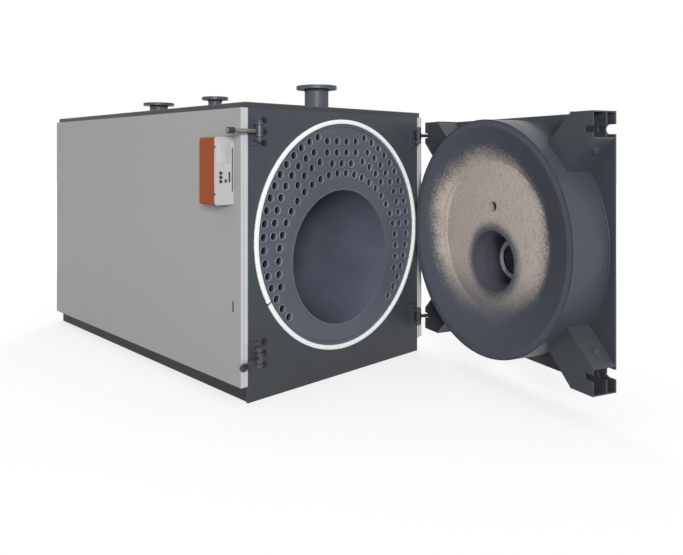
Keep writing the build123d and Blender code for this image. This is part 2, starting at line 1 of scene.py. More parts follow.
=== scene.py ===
"""Looks of a hot-water boiler with an open front door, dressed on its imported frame.

Metres, +Z up, the front faces -Y, the origin lies under the middle of the base.
"""
from __future__ import annotations

import json
import logging
import math
from dataclasses import dataclass, field
from enum import Enum
from typing import Iterable, Sequence

import bmesh
import bpy
from mathutils import Matrix, Vector

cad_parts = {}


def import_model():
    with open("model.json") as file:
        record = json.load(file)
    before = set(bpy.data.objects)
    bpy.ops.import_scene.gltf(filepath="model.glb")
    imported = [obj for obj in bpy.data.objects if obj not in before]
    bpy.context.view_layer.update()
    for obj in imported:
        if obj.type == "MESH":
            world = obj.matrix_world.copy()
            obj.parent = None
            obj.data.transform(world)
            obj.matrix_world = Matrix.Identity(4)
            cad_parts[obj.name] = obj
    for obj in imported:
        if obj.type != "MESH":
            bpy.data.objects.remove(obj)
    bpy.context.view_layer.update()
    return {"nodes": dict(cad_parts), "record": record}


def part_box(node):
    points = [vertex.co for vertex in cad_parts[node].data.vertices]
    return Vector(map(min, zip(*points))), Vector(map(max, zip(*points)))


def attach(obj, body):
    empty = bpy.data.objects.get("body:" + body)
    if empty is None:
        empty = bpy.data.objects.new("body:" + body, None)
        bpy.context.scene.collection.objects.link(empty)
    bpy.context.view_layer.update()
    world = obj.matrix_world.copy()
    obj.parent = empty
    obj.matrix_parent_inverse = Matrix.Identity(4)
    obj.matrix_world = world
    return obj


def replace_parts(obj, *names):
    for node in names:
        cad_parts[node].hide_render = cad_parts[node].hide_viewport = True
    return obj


LOG = logging.getLogger("boiler")
TURN = 2.0 * math.pi
AXIS_X, AXIS_Y, AXIS_Z = Vector((1, 0, 0)), Vector((0, 1, 0)), Vector((0, 0, 1))
SIDES = (-1, 1)
BAYS = ("front", "middle", "rear")
SHARP_ANGLE = math.radians(38)

Colour = tuple[float, float, float]
Point2 = tuple[float, float]
Point3 = tuple[float, float, float]
Profile = Sequence[Point2]


class Body(Enum):
    """Rigid bodies of the frame that pieces ride on."""

    BOILER = "boiler"
    DOOR = "door"
    UPPER_BOLT = "upper_bolt"
    LOWER_BOLT = "lower_bolt"


class Slot(Enum):
    """Material slots of the record that pieces stand for."""

    BLUE = "boiler_blue"
    CASING = "casing_grey"
    ROOF = "roof_dark"
    STEEL = "tube_steel"
    GASKET = "gasket_white"
    ZINC = "zinc_steel"
    FASCIA = "fascia_pale"
    KNOB = "knob_black"


def linear(red: int, green: int, blue: int) -> Colour:
    """Turn a display colour into scene-linear values.

    Args:
        red: Red from 0 to 255.
        green: Green from 0 to 255.
        blue: Blue from 0 to 255.

    Returns:
        The three linear channels.
    """
    shares = (red / 255.0, green / 255.0, blue / 255.0)
    return tuple(s / 12.92 if s <= 0.04045 else ((s + 0.055) / 1.055) ** 2.4 for s in shares)


def shade(colour: Colour, factor: float) -> Colour:
    """Scale a colour, kept below white."""
    return tuple(min(1.0, part * factor) for part in colour)


class Graph:
    """A material's node sheet with the few nodes that the finishes share."""

    def __init__(self, name: str) -> None:
        """Start a sheet with one principled shader.

        Args:
            name: Name of the material.
        """
        self.material = bpy.data.materials.new(name)
        self.material.use_nodes = True
        self.tree = self.material.node_tree
        self.tree.nodes.clear()
        output = self.tree.nodes.new("ShaderNodeOutputMaterial")
        self.shader = self.tree.nodes.new("ShaderNodeBsdfPrincipled")
        self.tree.links.new(self.shader.outputs[0], output.inputs["Surface"])
        self.place = self.tree.nodes.new("ShaderNodeTexCoord").outputs["Object"]

    def plug(self, socket: bpy.types.NodeSocket, value: object) -> None:
        """Link a socket to another one or set its constant value.

        Args:
            socket: Input to fill.
            value: Output socket, number, vector or colour.
        """
        if isinstance(value, bpy.types.NodeSocket):
            self.tree.links.new(value, socket)
        elif isinstance(value, tuple) and len(value) == 3 and socket.type == "RGBA":
            socket.default_value = (*value, 1.0)
        else:
            socket.default_value = value

    def node(self, kind: str, inputs: dict[str | int, object], **settings: str) -> bpy.types.Node:
        """Add a node.

        Args:
            kind: Type of the node, without the common prefix.
            inputs: Value for each input, by name or index.
            settings: Options of the node.

        Returns:
            The new node.
        """
        made = self.tree.nodes.new(f"ShaderNode{kind}")
        for key, value in settings.items():
            setattr(made, key, value)
        for key, value in inputs.items():
            self.plug(made.inputs[key], value)
        return made

    def noise(self, scale: float, detail: float = 4.0, rough: float = 0.6, stretch: Point3 = (1, 1, 1)) -> object:
        """Noise over the piece at rest.

        Args:
            scale: Features per metre.
            detail: Octaves.
            rough: Weight of the finer octaves.
            stretch: Scale along each axis, for runs and brushing.

        Returns:
            The grey output socket.
        """
        place = self.node("Mapping", {"Vector": self.place, "Scale": stretch}).outputs[0]
        inputs = {"Vector": place, "Scale": scale, "Detail": detail, "Roughness": rough}
        return self.node("TexNoise", inputs).outputs[0]

    def ramp(self, value: object, *stops: tuple[float, Colour]) -> object:
        """Colour ramp with two stops.

        Args:
            value: Grey socket that runs along the ramp.
            stops: Position and colour of the lower and the upper stop.

        Returns:
            The colour socket.
        """
        made = self.node("ValToRGB", {0: value})
        for element, (position, colour) in zip(made.color_ramp.elements, stops):
            element.position = position
            element.color = (*colour, 1.0)
        return made.outputs[0]

    def span(self, value: object, low: float, high: float, to_low: float = 0.0, to_high: float = 1.0) -> object:
        """Map a range of values onto another, clamped at both ends.

        Args:
            value: Grey socket to map.
            low: Value that maps to to_low.
            high: Value that maps to to_high.
            to_low: Result at the low end.
            to_high: Result at the high end.

        Returns:
            The mapped grey socket.
        """
        inputs = {"Value": value, "From Min": low, "From Max": high, "To Min": to_low, "To Max": to_high}
        return self.node("MapRange", inputs, interpolation_type="SMOOTHSTEP").outputs[0]

    def math(self, kind: str, first: object, second: object = 0.0) -> object:
        """Arithmetic on two grey values, each a socket or a number."""
        return self.node("Math", {0: first, 1: second}, operation=kind).outputs[0]

    def vector(self, kind: str, first: object, second: object, result: str = "Value") -> object:
        """Arithmetic on two vectors, read from the output with the given name."""
        return self.node("VectorMath", {0: first, 1: second}, operation=kind).outputs[result]

    def mix(self, factor: object, first: object, second: object) -> object:
        """Colour between two others, with the second one at a factor of one."""
        return self.node("Mix", {0: factor, 6: first, 7: second}, data_type="RGBA").outputs[2]

    def axes(self, value: object) -> object:
        """The three parts of a vector socket."""
        return self.node("SeparateXYZ", {0: value}).outputs

    def bump(self, height: object, strength: float, depth: float, under: object = None) -> object:
        """Bump from a grey height.

        Args:
            height: Grey socket.
            strength: Share of the effect.
            depth: Height of the relief in metres.
            under: Normal socket of a coarser bump below, if any.

        Returns:
            The normal socket.
        """
        inputs = {"Strength": strength, "Distance": depth, "Height": height}
        if under is not None:
            inputs["Normal"] = under
        return self.node("Bump", inputs).outputs[0]

    def finish(self, **sockets: object) -> bpy.types.Material:
        """Fill the shader's sockets.

        Args:
            sockets: Value for each socket, named with underscores for spaces.

        Returns:
            The finished material.
        """
        for key, value in sockets.items():
            self.plug(self.shader.inputs[key.replace("_", " ")], value)
        return self.material


@dataclass(frozen=True)
class Paint:
    """Sprayed paint with a fine peel, faint clouds, dust on tops, soot with painted shade deep in bores, and grime
    where wanted.
    """

    name: str
    colour: Colour
    roughness: float = 0.45
    gloss: float = 0.25
    clouds: float = 0.10
    peel: float = 0.06
    dust: float = 0.10
    dust_colour: Colour = linear(178, 175, 168)
    soot_and_shade_from: float | None = None
    soot_and_shade_to: float | None = None
    soot_and_shade_colour: Colour = linear(30, 28, 28)
    grime: float = 0.0
    grime_low: float = 0.15
    grime_top: float = 0.85
    grime_sway: float = 0.3
    grime_colour: Colour = linear(44, 43, 42)

    def build(self) -> bpy.types.Material:
        """Make the material.

        Returns:
            The finished material.
        """
        sheet = Graph(self.name)
        clouds = sheet.noise(2.2, 5.0)
        specks = sheet.noise(140.0, 3.0, 0.7)
        darker, lighter = (shade(self.colour, 1.0 + side * self.clouds) for side in SIDES)
        tone = sheet.ramp(clouds, (0.25, darker), (0.75, lighter))
        tone = sheet.mix(sheet.span(specks, 0.66, 0.80, 0.0, 0.22), tone, shade(self.colour, 0.6))
        upward = sheet.axes(sheet.node("NewGeometry", {}).outputs["Normal"])[2]
        settle = sheet.math("MULTIPLY", sheet.span(upward, 0.55, 1.0), sheet.span(clouds, 0.3, 0.8))
        tone = sheet.mix(sheet.math("MULTIPLY", settle, self.dust), tone, self.dust_colour)
        _, depth, height = sheet.axes(sheet.place)
        # Soot with painted shade: darker with depth behind the front, which darkens the inside of the tube bores.
        if self.soot_and_shade_from is not None:
            tone = sheet.mix(sheet.span(depth, self.soot_and_shade_from, self.soot_and_shade_to), tone, self.soot_and_shade_colour)
        if self.grime > 0.0:
            level = sheet.math("ADD", height, sheet.math("MULTIPLY", clouds, self.grime_sway))
            share = sheet.span(level, self.grime_low, self.grime_top, self.grime, 0.0)
            tone = sheet.mix(share, tone, self.grime_colour)
        return sheet.finish(
            Base_Color=tone,
            Roughness=sheet.span(clouds, 0.2, 0.8, self.roughness - 0.06, self.roughness + 0.10),
            Normal=sheet.bump(sheet.noise(260.0, 2.0), self.peel, 0.0012),
            Specular_IOR_Level=self.gloss,
            Coat_Weight=self.gloss * 0.2,
            Coat_Roughness=0.30,
        )


@dataclass(frozen=True)
class BareSteel:
    """Plated or bare steel, brushed along one axis, with dull and rusty patches and painted eyes."""

    name: str
    colour: Colour
    roughness: float = 0.38
    metallic: float = 0.9
    stretch: Point3 = (1.0, 1.0, 8.0)
    rust: float = 0.15
    rust_colour: Colour = linear(104, 74, 52)
    eyes: tuple[Vector, ...] = ()
    eye_radius: float = 0.034
    eye_fade: float = 0.008
    eye_colour: Colour = linear(66, 69, 77)

    def build(self) -> bpy.types.Material:
        """Make the material.

        Returns:
            The finished material.
        """
        sheet = Graph(self.name)
        patches = sheet.noise(24.0, 6.0, 0.65)
        lines = sheet.noise(320.0, 3.0, 0.5, self.stretch)
        tone = sheet.ramp(patches, (0.30, shade(self.colour, 0.78)), (0.70, shade(self.colour, 1.12)))
        tone = sheet.mix(sheet.span(patches, 0.58, 0.74, 0.0, self.rust), tone, self.rust_colour)
        for eye in self.eyes:
            away = sheet.vector("DISTANCE", sheet.place, tuple(eye))
            near = sheet.span(away, self.eye_radius, self.eye_radius + self.eye_fade, 1.0, 0.0)
            tone = sheet.mix(near, tone, self.eye_colour)
        return sheet.finish(
            Base_Color=tone,
            Roughness=sheet.span(lines, 0.2, 0.8, self.roughness - 0.08, self.roughness + 0.16),
            Normal=sheet.bump(lines, 0.12, 0.0006),
            Metallic=self.metallic,
        )


@dataclass(frozen=True)
class RopePacking:
    """Braided white packing with a crossing weave."""

    name: str
    colour: Colour
    axis_height: float
    major: float
    weave_run: float = 0.009
    weave_width: float = 0.020
    grime_colour: Colour = linear(176, 176, 170)

    def build(self) -> bpy.types.Material:
        """Make the material.

        Returns:
            The finished material.
        """
        sheet = Graph(self.name)
        side, _, height = sheet.axes(sheet.place)
        rise = sheet.math("SUBTRACT", height, self.axis_height)
        squares = sheet.math("ADD", sheet.math("POWER", rise, 2.0), sheet.math("POWER", side, 2.0))
        along = sheet.math("MULTIPLY", sheet.math("ARCTAN2", rise, side), self.major / self.weave_run)
        across = sheet.math("MULTIPLY", sheet.math("SQRT", squares), TURN / self.weave_width)
        strands = (sheet.math("SINE", sheet.math(way, along, across)) for way in ("ADD", "SUBTRACT"))
        weave = sheet.math("MAXIMUM", *strands)
        fibre = sheet.noise(900.0, 3.0, 0.7)
        grime = sheet.noise(9.0, 4.0)
        tone = sheet.mix(sheet.span(weave, -0.4, 0.7), shade(self.colour, 0.90), self.colour)
        tone = sheet.mix(sheet.span(grime, 0.60, 0.80, 0.0, 0.25), tone, self.grime_colour)
        return sheet.finish(
            Base_Color=tone,
            Roughness=sheet.span(fibre, 0.2, 0.8, 0.80, 0.95),
            Normal=sheet.bump(fibre, 0.25, 0.0008, sheet.bump(weave, 0.30, 0.0012)),
            Sheen_Weight=0.2,
        )


@dataclass(frozen=True)
class CastLining:
    """Cast refractory: grainy beige, with soot from the rim, round the burner mouth and low down, painted shade on
    the slope away from the hinge, and soot with painted shade inside the burner mouth and the sight hole.
    """

    name: str
    beige: Colour
    warm: Colour
    soot: Colour
    centre: Vector
    axis: Vector
    hinge_side: Vector
    flat_radius: float
    mouth: Vector
    mouth_radius: float
    sight: Vector
    sight_radius: float

    def build(self) -> bpy.types.Material:
        """Make the material.

        Returns:
            The finished material.
        """
        sheet = Graph(self.name)
        clouds = sheet.noise(3.5, 6.0, 0.62)
        grain = sheet.noise(85.0, 6.0, 0.80)
        mottle = sheet.noise(38.0, 3.0, 0.6)
        pits = sheet.noise(48.0, 3.0, 0.5)

        def reach(centre: Vector) -> object:
            """Distance from the axis through a point.

            Args:
                centre: Point on the axis.

            Returns:
                The grey socket of the distance.
            """
            offset = sheet.vector("SUBTRACT", sheet.place, tuple(centre), "Vector")
            depth = sheet.vector("DOT_PRODUCT", offset, tuple(self.axis))
            length = sheet.vector("LENGTH", offset, (0, 0, 0))
            square = sheet.math("SUBTRACT", sheet.math("POWER", length, 2.0), sheet.math("POWER", depth, 2.0))
            return sheet.math("SQRT", sheet.math("MAXIMUM", square, 0.0))

        def ragged(distance: object, coarse: float, fine: float) -> object:
            """Distance made uneven by the clouds and the grain.

            Args:
                distance: Grey socket of the even distance.
                coarse: Sway of the clouds in metres.
                fine: Sway of the grain in metres.

            Returns:
                The grey socket of the uneven distance.
            """
            uneven = sheet.math("MULTIPLY", sheet.math("SUBTRACT", clouds, 0.5), coarse)
            speckled = sheet.math("MULTIPLY", sheet.math("SUBTRACT", grain, 0.5), fine)
            return sheet.math("ADD", distance, sheet.math("ADD", uneven, speckled))

        radial = reach(self.centre)
        tone = sheet.mix(sheet.span(clouds, 0.35, 0.70), self.beige, shade(self.beige, 0.90))
        tone = sheet.mix(sheet.span(mottle, 0.46, 0.72, 0.0, 0.5), tone, shade(self.beige, 0.66))
        tone = sheet.mix(sheet.span(grain, 0.52, 0.66, 0.0, 0.65), tone, shade(self.beige, 0.38))
        offset = sheet.vector("SUBTRACT", sheet.place, tuple(self.centre), "Vector")
        beside = sheet.vector("DOT_PRODUCT", offset, tuple(self.hinge_side))
        line = sheet.math("ABSOLUTE", sheet.math("SUBTRACT", ragged(radial, 0.04, 0.02), self.flat_radius - 0.035))
        brown = sheet.math("MULTIPLY", sheet.span(line, 0.002, 0.010, 0.4, 0.0), sheet.span(beside, 0.15, 0.35))
        tone = sheet.mix(brown, tone, self.warm)
        flat, mouth, middle = self.flat_radius, self.mouth_radius, self.centre.z
        edge = sheet.span(ragged(radial, 0.14, 0.30), flat - 0.03, flat + 0.10)
        burnt = sheet.span(ragged(reach(self.mouth), 0.07, 0.14), mouth + 0.008, mouth + 0.085, 0.95, 0.0)
        height = ragged(sheet.axes(sheet.place)[2], 0.10, 0.25)
        for share in (edge, burnt, sheet.span(height, middle - 0.56, middle - 0.16, 0.85, 0.0)):
            tone = sheet.mix(share, tone, self.soot)
        # Soot with painted shade inside the burner mouth and the sight hole.
        for centre, radius, soot_and_shade in ((self.mouth, mouth, 0.85), (self.sight, self.sight_radius, 0.40)):
            inside = sheet.span(reach(centre), radius + 0.001, radius + 0.006, soot_and_shade, 0.0)
            tone = sheet.mix(inside, tone, shade(self.soot, 0.52))
        return sheet.finish(
            Base_Color=tone,
            Roughness=sheet.span(grain, 0.2, 0.8, 0.85, 0.97),
            Normal=sheet.bump(grain, 0.45, 0.004, sheet.bump(pits, 0.30, 0.010)),
        )


@dataclass(frozen=True)
class Moulding:
    """Moulded or powder-coated cover with a fine grain."""

    name: str
    colour: Colour
    roughness: float = 0.5
    grain: float = 0.10
    gloss: float = 0.25

    def build(self) -> bpy.types.Material:
        """Make the material.

        Returns:
            The finished material.
        """
        sheet = Graph(self.name)
        clouds = sheet.noise(7.0, 4.0)
        return sheet.finish(
            Base_Color=sheet.ramp(clouds, (0.3, shade(self.colour, 0.93)), (0.7, shade(self.colour, 1.05))),
            Roughness=sheet.span(clouds, 0.2, 0.8, self.roughness - 0.05, self.roughness + 0.08),
            Normal=sheet.bump(sheet.noise(700.0, 2.0), self.grain, 0.0006),
            Specular_IOR_Level=self.gloss,
        )


@dataclass(frozen=True)
class HeatGlass:
    """Clear heat-resistant glass, a little smoked."""

    name: str
    colour: Colour

    def build(self) -> bpy.types.Material:
        """Make the material.

        Returns:
            The finished material.
        """
        sheet = Graph(self.name)
        film = sheet.noise(18.0, 4.0)
        return sheet.finish(
            Base_Color=sheet.ramp(film, (0.3, shade(self.colour, 0.85)), (0.7, self.colour)),
            Roughness=sheet.span(film, 0.3, 0.7, 0.04, 0.16),
            Transmission_Weight=0.85,
            IOR=1.47,
        )


Finish = Paint | BareSteel | RopePacking | CastLining | Moulding | HeatGlass


def frame_of(origin: Vector, across: Vector, up: Vector) -> Matrix:
    """Local frame at a point, with Z square to the two given directions.

    Args:
        origin: Place of the frame.
        across: Direction of local X.
        up: Direction of local Y.

    Returns:
        The matrix from local to row coordinates.
    """
    matrix = Matrix((across, up, across.cross(up))).transposed().to_4x4()
    matrix.translation = origin
    return matrix


def at(place: Matrix, x: float, y: float, z: float = 0.0) -> Matrix:
    """The same local frame, moved along its own axes."""
    return place @ Matrix.Translation((x, y, z))


def around(place: Matrix, radius: float, count: int, rise: float = 0.0) -> list[Matrix]:
    """Frames spaced round a circle, the first one half a step off local X.

    Args:
        place: Local frame of the circle.
        radius: Radius of the circle.
        count: Number of frames.
        rise: Height over the circle's plane.

    Returns:
        The frames in order.
    """
    turns = [TURN * (step + 0.5) / count for step in range(count)]
    return [at(place, radius * math.cos(turn), radius * math.sin(turn), rise) for turn in turns]


def about(radius: float, offsets: Profile) -> list[Point2]:
    """Profile whose radii are given from a round edge."""
    return [(radius + out, height) for out, height in offsets]


def box_of(name: str) -> tuple[Vector, Vector, Vector]:
    """Low corner, high corner and middle of a node's box."""
    low, high = (Vector(corner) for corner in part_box(name))
    return low, high, (low + high) / 2


class Piece:
    """Gathers shapes in one mesh and turns them into a named piece of the scene."""

    ripple: float = 0.16
    bead_parts: int = 5
    corner_parts: int = 7

    def __init__(self, name: str, body: Body, slot: Slot, finish: bpy.types.Material) -> None:
        """Start an empty piece.

        Args:
            name: Name of the piece.
            body: Body that it rides on.
            slot: Record slot that its finish stands for; kept on the piece, not used.
            finish: Material of the whole piece.
        """
        self.name = name
        self.body = body
        self.slot = slot
        self.finish = finish
        self.mesh = bmesh.new()

    def ring(self, points: Iterable[Vector]) -> list[bmesh.types.BMVert]:
        """New vertices at the points."""
        return [self.mesh.verts.new(point) for point in points]

    def skin(self, rings: Sequence[list], closed: bool = False, looped: bool = False) -> None:
        """Join rings of vertices with faces.

        Args:
            rings: Vertices of each ring.
            closed: Whether a ring's last vertex joins its first one.
            looped: Whether the last ring joins the first one.
        """
        count = len(rings[0])
        for ring, beside in zip(rings, [*rings[1:], rings[0]] if looped else rings[1:]):
            for spot in range(count if closed else count - 1):
                ahead = (spot + 1) % count
                self.mesh.faces.new((ring[spot], beside[spot], beside[ahead], ring[ahead]))

    def lathe(self, place: Matrix, profile: Profile, steps: int = 32, closed: bool = False) -> None:
        """Turn a profile of radius and height round the local Z axis.

        Args:
            place: Local frame of the shape.
            profile: Radius and height of each point.
            steps: Faces round the turn.
            closed: Whether the last point joins the first one.
        """
        turns = [TURN * step / steps for step in range(steps)]
        rings = [
            self.ring(place @ Vector((radius * math.cos(turn), radius * math.sin(turn), h)) for radius, h in profile)
            for turn in turns
        ]
        self.skin(rings, closed, looped=True)

    def bead(self, place: Matrix, radius: float, size: float, pitch: float = 0.012) -> None:
        """Lay a rippled weld bead round a circle in the local XY plane.

        Args:
            place: Local frame of the circle.
            radius: Radius of the bead's middle line.
            size: Half width of the bead.
            pitch: Distance between ripples.
        """
        ripples = max(12, round(TURN * radius / pitch))
        steps = ripples * 3
        leans = [math.pi * part / (self.bead_parts - 1) for part in range(self.bead_parts)]
        rings = []
        for step in range(steps):
            turn = TURN * step / steps
            swell = size * (1.0 + self.ripple * math.sin(ripples * turn))
            section = [(radius + swell * math.cos(lean), 0.7 * swell * math.sin(lean)) for lean in leans]
            rings.append(
                self.ring(place @ Vector((out * math.cos(turn), out * math.sin(turn), rise)) for out, rise in section)
            )
        self.skin(rings, looped=True)

    def seam(self, start: Vector, end: Vector, up: Vector, size: float, pitch: float = 0.010) -> None:
        """Lay a rippled weld bead along a straight line.

        Args:
            start: First end of the line.
            end: Other end of the line.
            up: Direction in which the bead stands proud.
            size: Half width of the bead.
            pitch: Distance between ripples.
        """
        line = end - start
        steps = max(6, round(3 * line.length / pitch))
        side = line.normalized().cross(up).normalized()
        leans = [math.pi * part / (self.bead_parts - 1) for part in range(self.bead_parts)]
        rings = []
        for step in range(steps + 1):
            share = step / steps
            swell = size * (1.0 + self.ripple * math.sin(TURN * share * line.length / pitch))
            middle = start + line * share
            rings.append(
                self.ring(
                    middle + side * (swell * math.cos(lean)) + up * (0.8 * swell * math.sin(lean)) for lean in leans
                )
            )
        self.skin(rings)

    def hexagon(self, place: Matrix, across: float, height: float) -> None:
        """Set a hexagon head with chamfered corners and a washer on the local XY plane.

        Args:
            place: Local frame, with Z away from the surface.
            across: Width over the corners.
            height: Height of the head.
        """
        radius = across / 2
        self.lathe(place, [(radius, 0.0), (radius, height * 0.82), (radius * 0.88, height), (0.0, height)], 6)
        self.lathe(place, [(radius * 1.25, 0.0), (radius * 1.25, height * 0.16), (radius * 0.9, height * 0.18)], 24)

    def slab(self, place: Matrix, width: float, height: float, depth: float, round_off: float) -> None:
        """Set a plate with rounded corners and a soft front edge on the local XY plane.

        Args:
            place: Local frame, with Z away from the surface.
            width: Size along X.
            height: Size along Y.
            depth: Thickness along Z.
            round_off: Corner radius.
        """

        def outline(inset: float, level: float) -> list[Vector]:
            """Points of the rounded outline.

            Args:
                inset: Distance that the outline is moved inwards.
                level: Height over the local XY plane.

            Returns:
                The points in order round the outline.
            """
            corner = max(round_off - inset, 0.0004)
            half_x, half_y = width / 2 - inset - corner, height / 2 - inset - corner
            points = []
            for quarter, (sx, sy) in enumerate(((1, 1), (-1, 1), (-1, -1), (1, -1))):
                for part in range(self.corner_parts):
                    turn = math.pi / 2 * (quarter + part / (self.corner_parts - 1))
                    x, y = sx * half_x + corner * math.cos(turn), sy * half_y + corner * math.sin(turn)
                    points.append(place @ Vector((x, y, level)))
            return points

        soft = min(depth * 0.4, 0.002)
        levels = ((0.0, 0.0), (0.0, depth - soft), (soft * 0.4, depth - soft * 0.4), (soft, depth))
        rings = [self.ring(outline(inset, level)) for inset, level in levels]
        self.skin(rings, closed=True)
        self.mesh.faces.new(rings[-1])

    def tube(self, rings: Sequence[list]) -> None:
        """Join rings to a closed tube with both ends capped."""
        self.skin(rings, closed=True)
        self.mesh.faces.new(rings[0])
        self.mesh.faces.new(rings[-1])

    def bar(self, points: Sequence[Vector], radius: float, steps: int = 12) -> None:
        """Bend a round bar along a line of points.

        Args:
            points: Middle line of the bar.
            radius: Radius of the bar.
            steps: Faces round it.
        """
        turns = [TURN * step / steps for step in range(steps)]
        circle = [Vector((radius * math.cos(turn), radius * math.sin(turn), 0.0)) for turn in turns]
        rings = []
        for spot, point in enumerate(points):
            ahead = points[min(spot + 1, len(points) - 1)] - points[max(spot - 1, 0)]
            lean = ahead.to_track_quat("Z", "Y").to_matrix()
            rings.append(self.ring(point + lean @ edge for edge in circle))
        self.tube(rings)

    def done(self) -> bpy.types.Object:
        """Close the mesh, link it and let it ride on its body.

        Returns:
            The finished object.
        """
        bmesh.ops.remove_doubles(self.mesh, verts=self.mesh.verts, dist=1e-6)
        bmesh.ops.recalc_face_normals(self.mesh, faces=self.mesh.faces)
        data = bpy.data.meshes.new(self.name)
        self.mesh.to_mesh(data)
        self.mesh.free()
        data.polygons.foreach_set("use_smooth", [True] * len(data.polygons))
        data.set_sharp_from_angle(angle=SHARP_ANGLE)
        data.materials.append(self.finish)
        item = bpy.data.objects.new(self.name, data)
        bpy.context.scene.collection.objects.link(item)
        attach(item, self.body.value)
        LOG.info("piece %s: %d faces on %s", self.name, len(data.polygons), self.body.value)
        return item


@dataclass
class Finishes:
    """All materials of the boiler, built once."""

    made: dict[str, bpy.types.Material] = field(default_factory=dict)

    def add(self, finish: Finish) -> None:
        """Build a finish and keep it by name."""
        self.made[finish.name] = finish.build()

    def __getitem__(self, name: str) -> bpy.types.Material:
        """Material of that name."""
        return self.made[name]


@dataclass
class Layout:
    """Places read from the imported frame, shared by the sub-assemblies."""

    nodes: dict[str, bpy.types.Object]
    record: dict
    pin_to_seal: float = 0.020

    def __post_init__(self) -> None:
        """Work out the front, the axes, the pivots and the door's own frame."""
        shell_low, shell_high, shell = box_of("shell")
        furnace_low, furnace_high, furnace = box_of("furnace_tube")
        self.front = box_of("front_plate")[0].y
        self.rear = box_of("rear_panel")[1].y
        self.axis_z, self.shell_r = shell.z, (shell_high.z - shell_low.z) / 2
        self.furnace_z, self.furnace_r = furnace.z, (furnace_high.z - furnace_low.z) / 2
        self.recess = box_of("tube_nest")[0].y - self.front
        self.face = frame_of(Vector((0, self.front, self.axis_z)), AXIS_X, AXIS_Z)
        self.back = frame_of(Vector((0, self.rear, self.axis_z)), -AXIS_X, AXIS_Z)
        self.left = frame_of(Vector((-box_of("right_panel_front")[1].x, 0, 0)), -AXIS_Y, AXIS_Z)
        self.joints = {joint["name"]: joint for joint in self.record["behaviour"]["joints"]}
        self.bolt_pivots = {
            body: Vector(self.joints[f"{body.value}_swing"]["pos_m"]) for body in (Body.UPPER_BOLT, Body.LOWER_BOLT)
        }
        hinge = self.joints["door_hinge"]
        self.pivot = Vector(hinge["pos_m"])
        angle = math.radians(-hinge["range_deg"][0])
        self.door_u = Vector((-math.cos(angle), -math.sin(angle), 0))
        self.door_w = Vector((-math.sin(angle), math.cos(angle), 0))
        origin = self.pivot + self.door_u * self.pivot.x + self.door_w * self.pin_to_seal
        self.door = frame_of(Vector((origin.x, origin.y, self.axis_z)), self.door_u, AXIS_Z)


@dataclass
class SubAssembly:
    """Base of the sub-assemblies: the shared places and finishes."""

    layout: Layout
    finishes: Finishes

    def piece(self, name: str, slot: Slot, finish: str, body: Body = Body.BOILER) -> Piece:
        """Empty piece with a finish taken by name."""
        return Piece(name, body, slot, self.finishes[finish])

    def dress(self, finish: str, *names: str) -> None:
        """Give nodes of the frame a finish.

        Args:
            finish: Name of the finish.
            names: Node names.
        """
        material = self.finishes[finish]
        for name in names:
            node = self.layout.nodes[name]
            if not node.material_slots:
                node.data.materials.append(material)
            for slot in node.material_slots:
                slot.material = material
            LOG.info("node %s takes %s", name, finish)


